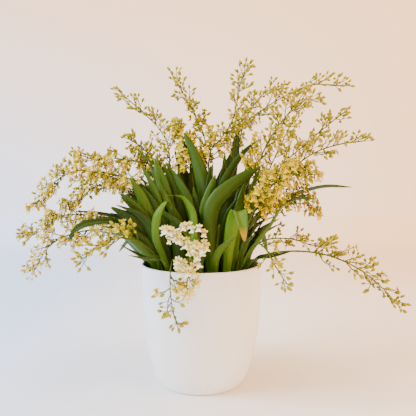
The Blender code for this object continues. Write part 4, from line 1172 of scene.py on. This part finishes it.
glaze = Paint("white_glaze", 0.3, Specular_IOR_Level=0.5, Coat_Weight=0.25, Coat_Roughness=0.18)
place = glaze.node("TexCoord").outputs["Object"]
drift = glaze.noise(place, 9.0, 2.0)
speck = glaze.noise(place, 260.0, 2.0, 0.6)
glaze.bump(glaze.maths("ADD", glaze.maths("MULTIPLY", drift, 1.0), glaze.maths("MULTIPLY", speck, 0.12)), 0.12, 0.002)
glaze.rough(glaze.range(drift, 0.35, 0.65, 0.26, 0.36))
glaze.colour(glaze.ramp(drift, [(0.35, (238, 236, 232)), (0.65, (243, 241, 238))]))

outside = [(0.0, 0.0), (FOOT_R - 6.0, 0.0), (FOOT_R - 3.4, 0.05), (FOOT_R - 1.2, 0.8), (FOOT_R + 0.1, 2.4), (FOOT_R + 0.9, 4.6)]
outside += [(pot_radius(z), z) for z in (8, 12, 18, 24, 32, 40, 50, 60, 72, 84, 96, 108, 120, 130, 138, POT_H - 2.2)]
outside += [(POT_R - 0.15, POT_H - 1.3), (POT_R - 0.7, POT_H - 0.45), (POT_R - 1.6, POT_H - 0.05), (POT_R - 2.3, POT_H - 0.1), (POT_R - 3.0, POT_H - 0.6), (POT_R - 3.45, POT_H - 1.4), (POT_R - WALL, POT_H - 3.0)]
outside += [(pot_radius(z) - WALL, z) for z in (120, 90, 60, 38, 22, 12)]
outside += [(FOOT_R - 4.5, 7.4), (FOOT_R - 10.0, 6.0), (0.0, 6.0)]
piece = turned_piece("outer_pot_glazed", outside, 160, glaze.mat)
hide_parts("outer_pot")

plastic = Paint("grow_pot_plastic", 0.5)
place = plastic.node("TexCoord").outputs["Object"]
grain = plastic.noise(place, 900.0, 2.0)
plastic.bump(grain, 0.25, 0.0004)
plastic.rough(plastic.range(grain, 0.3, 0.7, 0.45, 0.62))
plastic.colour(plastic.ramp(plastic.noise(place, 40.0, 3.0), [(0.35, (34, 32, 30)), (0.65, (48, 45, 42))]))
grow = [(0.0, 6.4), (45.0, 6.4), (46.2, 6.8), (47.0, 8.4), (55.5, 70.0), (64.0, 130.0), (65.0, 130.4), (67.2, 130.5), (68.0, 131.2), (68.0, 133.4), (67.6, 134.0), (66.8, 134.0), (64.9, 132.8), (62.6, 130.6), (54.3, 70.0), (45.8, 9.2), (45.2, 8.2), (44.4, 7.8), (0.0, 7.8)]
piece = turned_piece("grow_pot_shell", grow, 96, plastic.mat)
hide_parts("grow_pot")

chip_paint = Paint("bark_chips", 0.9)
place = chip_paint.node("TexCoord").outputs["Object"]
coarse = chip_paint.noise(place, 120.0, 3.0, 0.6)
fine = chip_paint.noise(chip_paint.scaled(place, 1, 1, 2.2), 520.0, 4.0, 0.65)
chip_paint.bump(chip_paint.maths("ADD", fine, chip_paint.maths("MULTIPLY", coarse, 0.6)), 0.8, 0.0015)
chip_paint.colour(chip_paint.mix(chip_paint.range(fine, 0.3, 0.7, 0.0, 0.7), chip_paint.ramp(coarse, [(0.3, (58, 38, 24)), (0.48, (98, 66, 42)), (0.62, (132, 96, 64)), (0.75, (74, 50, 34))]), (46, 32, 22)))
core = turned_piece("bark_bed", [(0.0, 8.2), (44.0, 8.2), (45.2, 9.4), (61.4, 118.0), (60.4, 122.6), (0.0, 123.4)], 64, chip_paint.mat)
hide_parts("bark")
dice = random.Random(5)
feet_list = np.array(list(feet.values()))
heap = Heap()
made = 0
for i in range(900):
    r, a = 60 * math.sqrt(dice.random()), dice.random() * 2 * math.pi
    x, y = r * math.cos(a), r * math.sin(a)
    if np.linalg.norm(feet_list - np.array([x, y]), axis=1).min() < 3.0:
        continue
    long_, wide_, deep = dice.uniform(5, 12), dice.uniform(4, 8), dice.uniform(2.5, 5)
    corners = []
    for cx in (-1, 0, 1):
        for cy in (-1, 0, 1):
            for cz in (-1, 1):
                bulge = 1 - 0.18 * (abs(cx) + abs(cy)) + dice.uniform(-0.12, 0.12)
                corners.append((cx * long_ / 2 * bulge, cy * wide_ / 2 * bulge, cz * deep / 2 * (bulge + 0.1)))
    p = np.array(corners)
    p = turned_about(p, "x", dice.uniform(-0.5, 0.5))
    p = turned_about(p, "y", dice.uniform(-0.5, 0.5))
    p = turned_about(p, "z", dice.uniform(0, 3.14))
    p = p + np.array([x, y, 124.0 + dice.uniform(-1.5, 0.6)])
    if np.hypot(p[:, 0], p[:, 1]).max() > 61 or p[:, 2].max() > BARK_TOP + 2.6:
        continue
    g = lambda cx, cy, cz: (cx * 3 + cy) * 2 + cz
    f, u = [], []

    def quad(a, b, c, d, row):
        f.append((a, b, c, d))
        x0, y0 = (made % 8) / 8, row / 12
        u.append([(x0 + 0.005, y0 + 0.005), (x0 + 0.12, y0 + 0.005), (x0 + 0.12, y0 + 0.075), (x0 + 0.005, y0 + 0.075)])

    for cx in range(2):
        for cy in range(2):
            quad(g(cx, cy, 1), g(cx + 1, cy, 1), g(cx + 1, cy + 1, 1), g(cx, cy + 1, 1), cx * 2 + cy)
            quad(g(cx, cy + 1, 0), g(cx + 1, cy + 1, 0), g(cx + 1, cy, 0), g(cx, cy, 0), cx * 2 + cy)
        quad(g(cx, 0, 0), g(cx + 1, 0, 0), g(cx + 1, 0, 1), g(cx, 0, 1), 4 + cx)
        quad(g(cx + 1, 2, 0), g(cx, 2, 0), g(cx, 2, 1), g(cx + 1, 2, 1), 6 + cx)
    for cy in range(2):
        quad(g(0, cy + 1, 0), g(0, cy, 0), g(0, cy, 1), g(0, cy + 1, 1), 8 + cy)
        quad(g(2, cy, 0), g(2, cy + 1, 0), g(2, cy + 1, 1), g(2, cy, 1), 10 + cy)
    heap.add(p, f, u)
    made += 1
    if made >= 330:
        break
chips = heap.piece("bark_chip_layer", [chip_paint.mat], smooth=False)
chips.data.uv_layers.remove(chips.data.uv_layers["OFBake"])

# ---------------------------------------------------------------- stage, light and camera

WORLD = ((196, 216, 248), (244, 214, 192), (255, 188, 122))
HIGH = (252, 196, 146)
WORLD_STRENGTH = 3.3
WORLD_LIGHT = 1.75
# the floor's colours are painted light: cool blue on the left where the cool window lamp falls, warm on the right where
# the warm fill falls
FLOOR_PAINTED_LIGHT = ((190, 217, 255), (243, 239, 235), (253, 232, 208))
mesh = bpy.data.meshes.new("floor")
ring = [(4.0 * math.cos(2 * math.pi * k / 96), 4.0 * math.sin(2 * math.pi * k / 96), 0) for k in range(96)]
mesh.from_pydata(ring, [], [tuple(range(96))])
floor = bpy.data.objects.new("floor", mesh)
bpy.context.scene.collection.objects.link(floor)
floor_paint = Paint("floor_paint", 0.75, Specular_IOR_Level=0.2)
place = floor_paint.node("TexCoord").outputs["Object"]
fx, fy = floor_paint.split(place)
# painted light: the floor's base colour runs from cool on the left to warm on the right, as the lamps do
floor_paint.colour(floor_paint.ramp(floor_paint.range(fx, -0.36, 0.36, 0.0, 1.0), [(0.0, FLOOR_PAINTED_LIGHT[0]), (0.5, FLOOR_PAINTED_LIGHT[1]), (1.0, FLOOR_PAINTED_LIGHT[2])]))
# painted glow: past 0.42 m the floor turns into an emission in the world's cool-to-warm colours, so it glows though it
# is no lamp
reach = floor_paint.node("VectorMath", operation="LENGTH")
floor_paint.put(reach.inputs[0], place)
away = reach.outputs["Value"]
painted_glow = floor_paint.node("Emission", Strength=WORLD_STRENGTH)
floor_paint.put(painted_glow.inputs["Color"], floor_paint.ramp(floor_paint.range(floor_paint.maths("DIVIDE", fx, away), -0.6, 0.6, 0.0, 1.0), [(0.0, WORLD[0]), (0.5, WORLD[1]), (1.0, WORLD[2])]))
blend = floor_paint.node("MixShader")
floor_paint.put(blend.inputs[0], floor_paint.range(away, 0.42, 1.7, 0.0, 1.0))
floor_paint.put(blend.inputs[1], floor_paint.shader.outputs[0])
floor_paint.put(blend.inputs[2], painted_glow.outputs[0])
floor_paint.put(floor_paint.tree.nodes["Material Output"].inputs["Surface"], blend.outputs[0])
mesh.materials.append(floor_paint.mat)

world = bpy.data.worlds.new("studio")
bpy.context.scene.world = world
world.use_nodes = True
tree = world.node_tree
back = tree.nodes["Background"]
coord = tree.nodes.new("ShaderNodeTexCoord")
parts = tree.nodes.new("ShaderNodeSeparateXYZ")
tree.links.new(coord.outputs["Generated"], parts.inputs[0])


def fall(socket, values):
    """A value run from one range to another."""
    new = tree.nodes.new("ShaderNodeMapRange")
    tree.links.new(socket, new.inputs[0])
    for k, value in enumerate(values):
        new.inputs[k + 1].default_value = value
    return new.outputs[0]


shade = tree.nodes.new("ShaderNodeValToRGB")
for element, (place_, colour) in zip((shade.color_ramp.elements[0], shade.color_ramp.elements.new(0.5), shade.color_ramp.elements[-1]), ((0.0, WORLD[0]), (0.5, WORLD[1]), (1.0, WORLD[2]))):
    element.position = place_
    element.color = linear(colour)
tree.links.new(fall(parts.outputs[0], (-0.6, 0.6, 0.0, 1.0)), shade.inputs[0])
warm = tree.nodes.new("ShaderNodeMix")
warm.data_type = "RGBA"
tree.links.new(fall(parts.outputs[2], (0.02, 0.36, 0.0, 0.75)), warm.inputs[0])
tree.links.new(shade.outputs[0], warm.inputs[6])
warm.inputs[7].default_value = linear(HIGH)
tree.links.new(warm.outputs[2], back.inputs["Color"])
rays = tree.nodes.new("ShaderNodeLightPath")
level = tree.nodes.new("ShaderNodeMapRange")
tree.links.new(rays.outputs["Is Camera Ray"], level.inputs[0])
level.inputs[3].default_value = WORLD_LIGHT
level.inputs[4].default_value = WORLD_STRENGTH
tree.links.new(level.outputs[0], back.inputs["Strength"])


def area(name, place, aim, size, power, colour):
    lamp = bpy.data.lights.new(name, "AREA")
    lamp.shape = "RECTANGLE"
    lamp.size, lamp.size_y = size
    lamp.energy = power
    lamp.color = colour
    obj = bpy.data.objects.new(name, lamp)
    bpy.context.scene.collection.objects.link(obj)
    obj.location = place
    obj.rotation_euler = (Vector(aim) - Vector(place)).to_track_quat("-Z", "Y").to_euler()
    return obj


area("window", (-1.5, -0.35, 1.0), (0, 0, 0.2), (0.9, 0.9), 76.0, (0.58, 0.79, 1.0))
area("warm_fill", (1.4, -0.8, 0.7), (0, 0, 0.2), (1.1, 1.1), 31.0, (1.0, 0.74, 0.44))
area("top", (0.1, 0.2, 1.7), (0, 0, 0.2), (1.2, 1.2), 28.0, (1.0, 0.95, 0.86))

camera = bpy.data.cameras.new("camera")
camera.sensor_width = 36.0
camera.lens = 36.0 * 451.0 / 416.0
camera.clip_start = 0.01
view = bpy.data.objects.new("camera", camera)
bpy.context.scene.collection.objects.link(view)
view.location = (0.0087, -0.567, 0.2397)
view.rotation_euler = (math.radians(90 - 2.41), 0, 0)
bpy.context.scene.camera = view
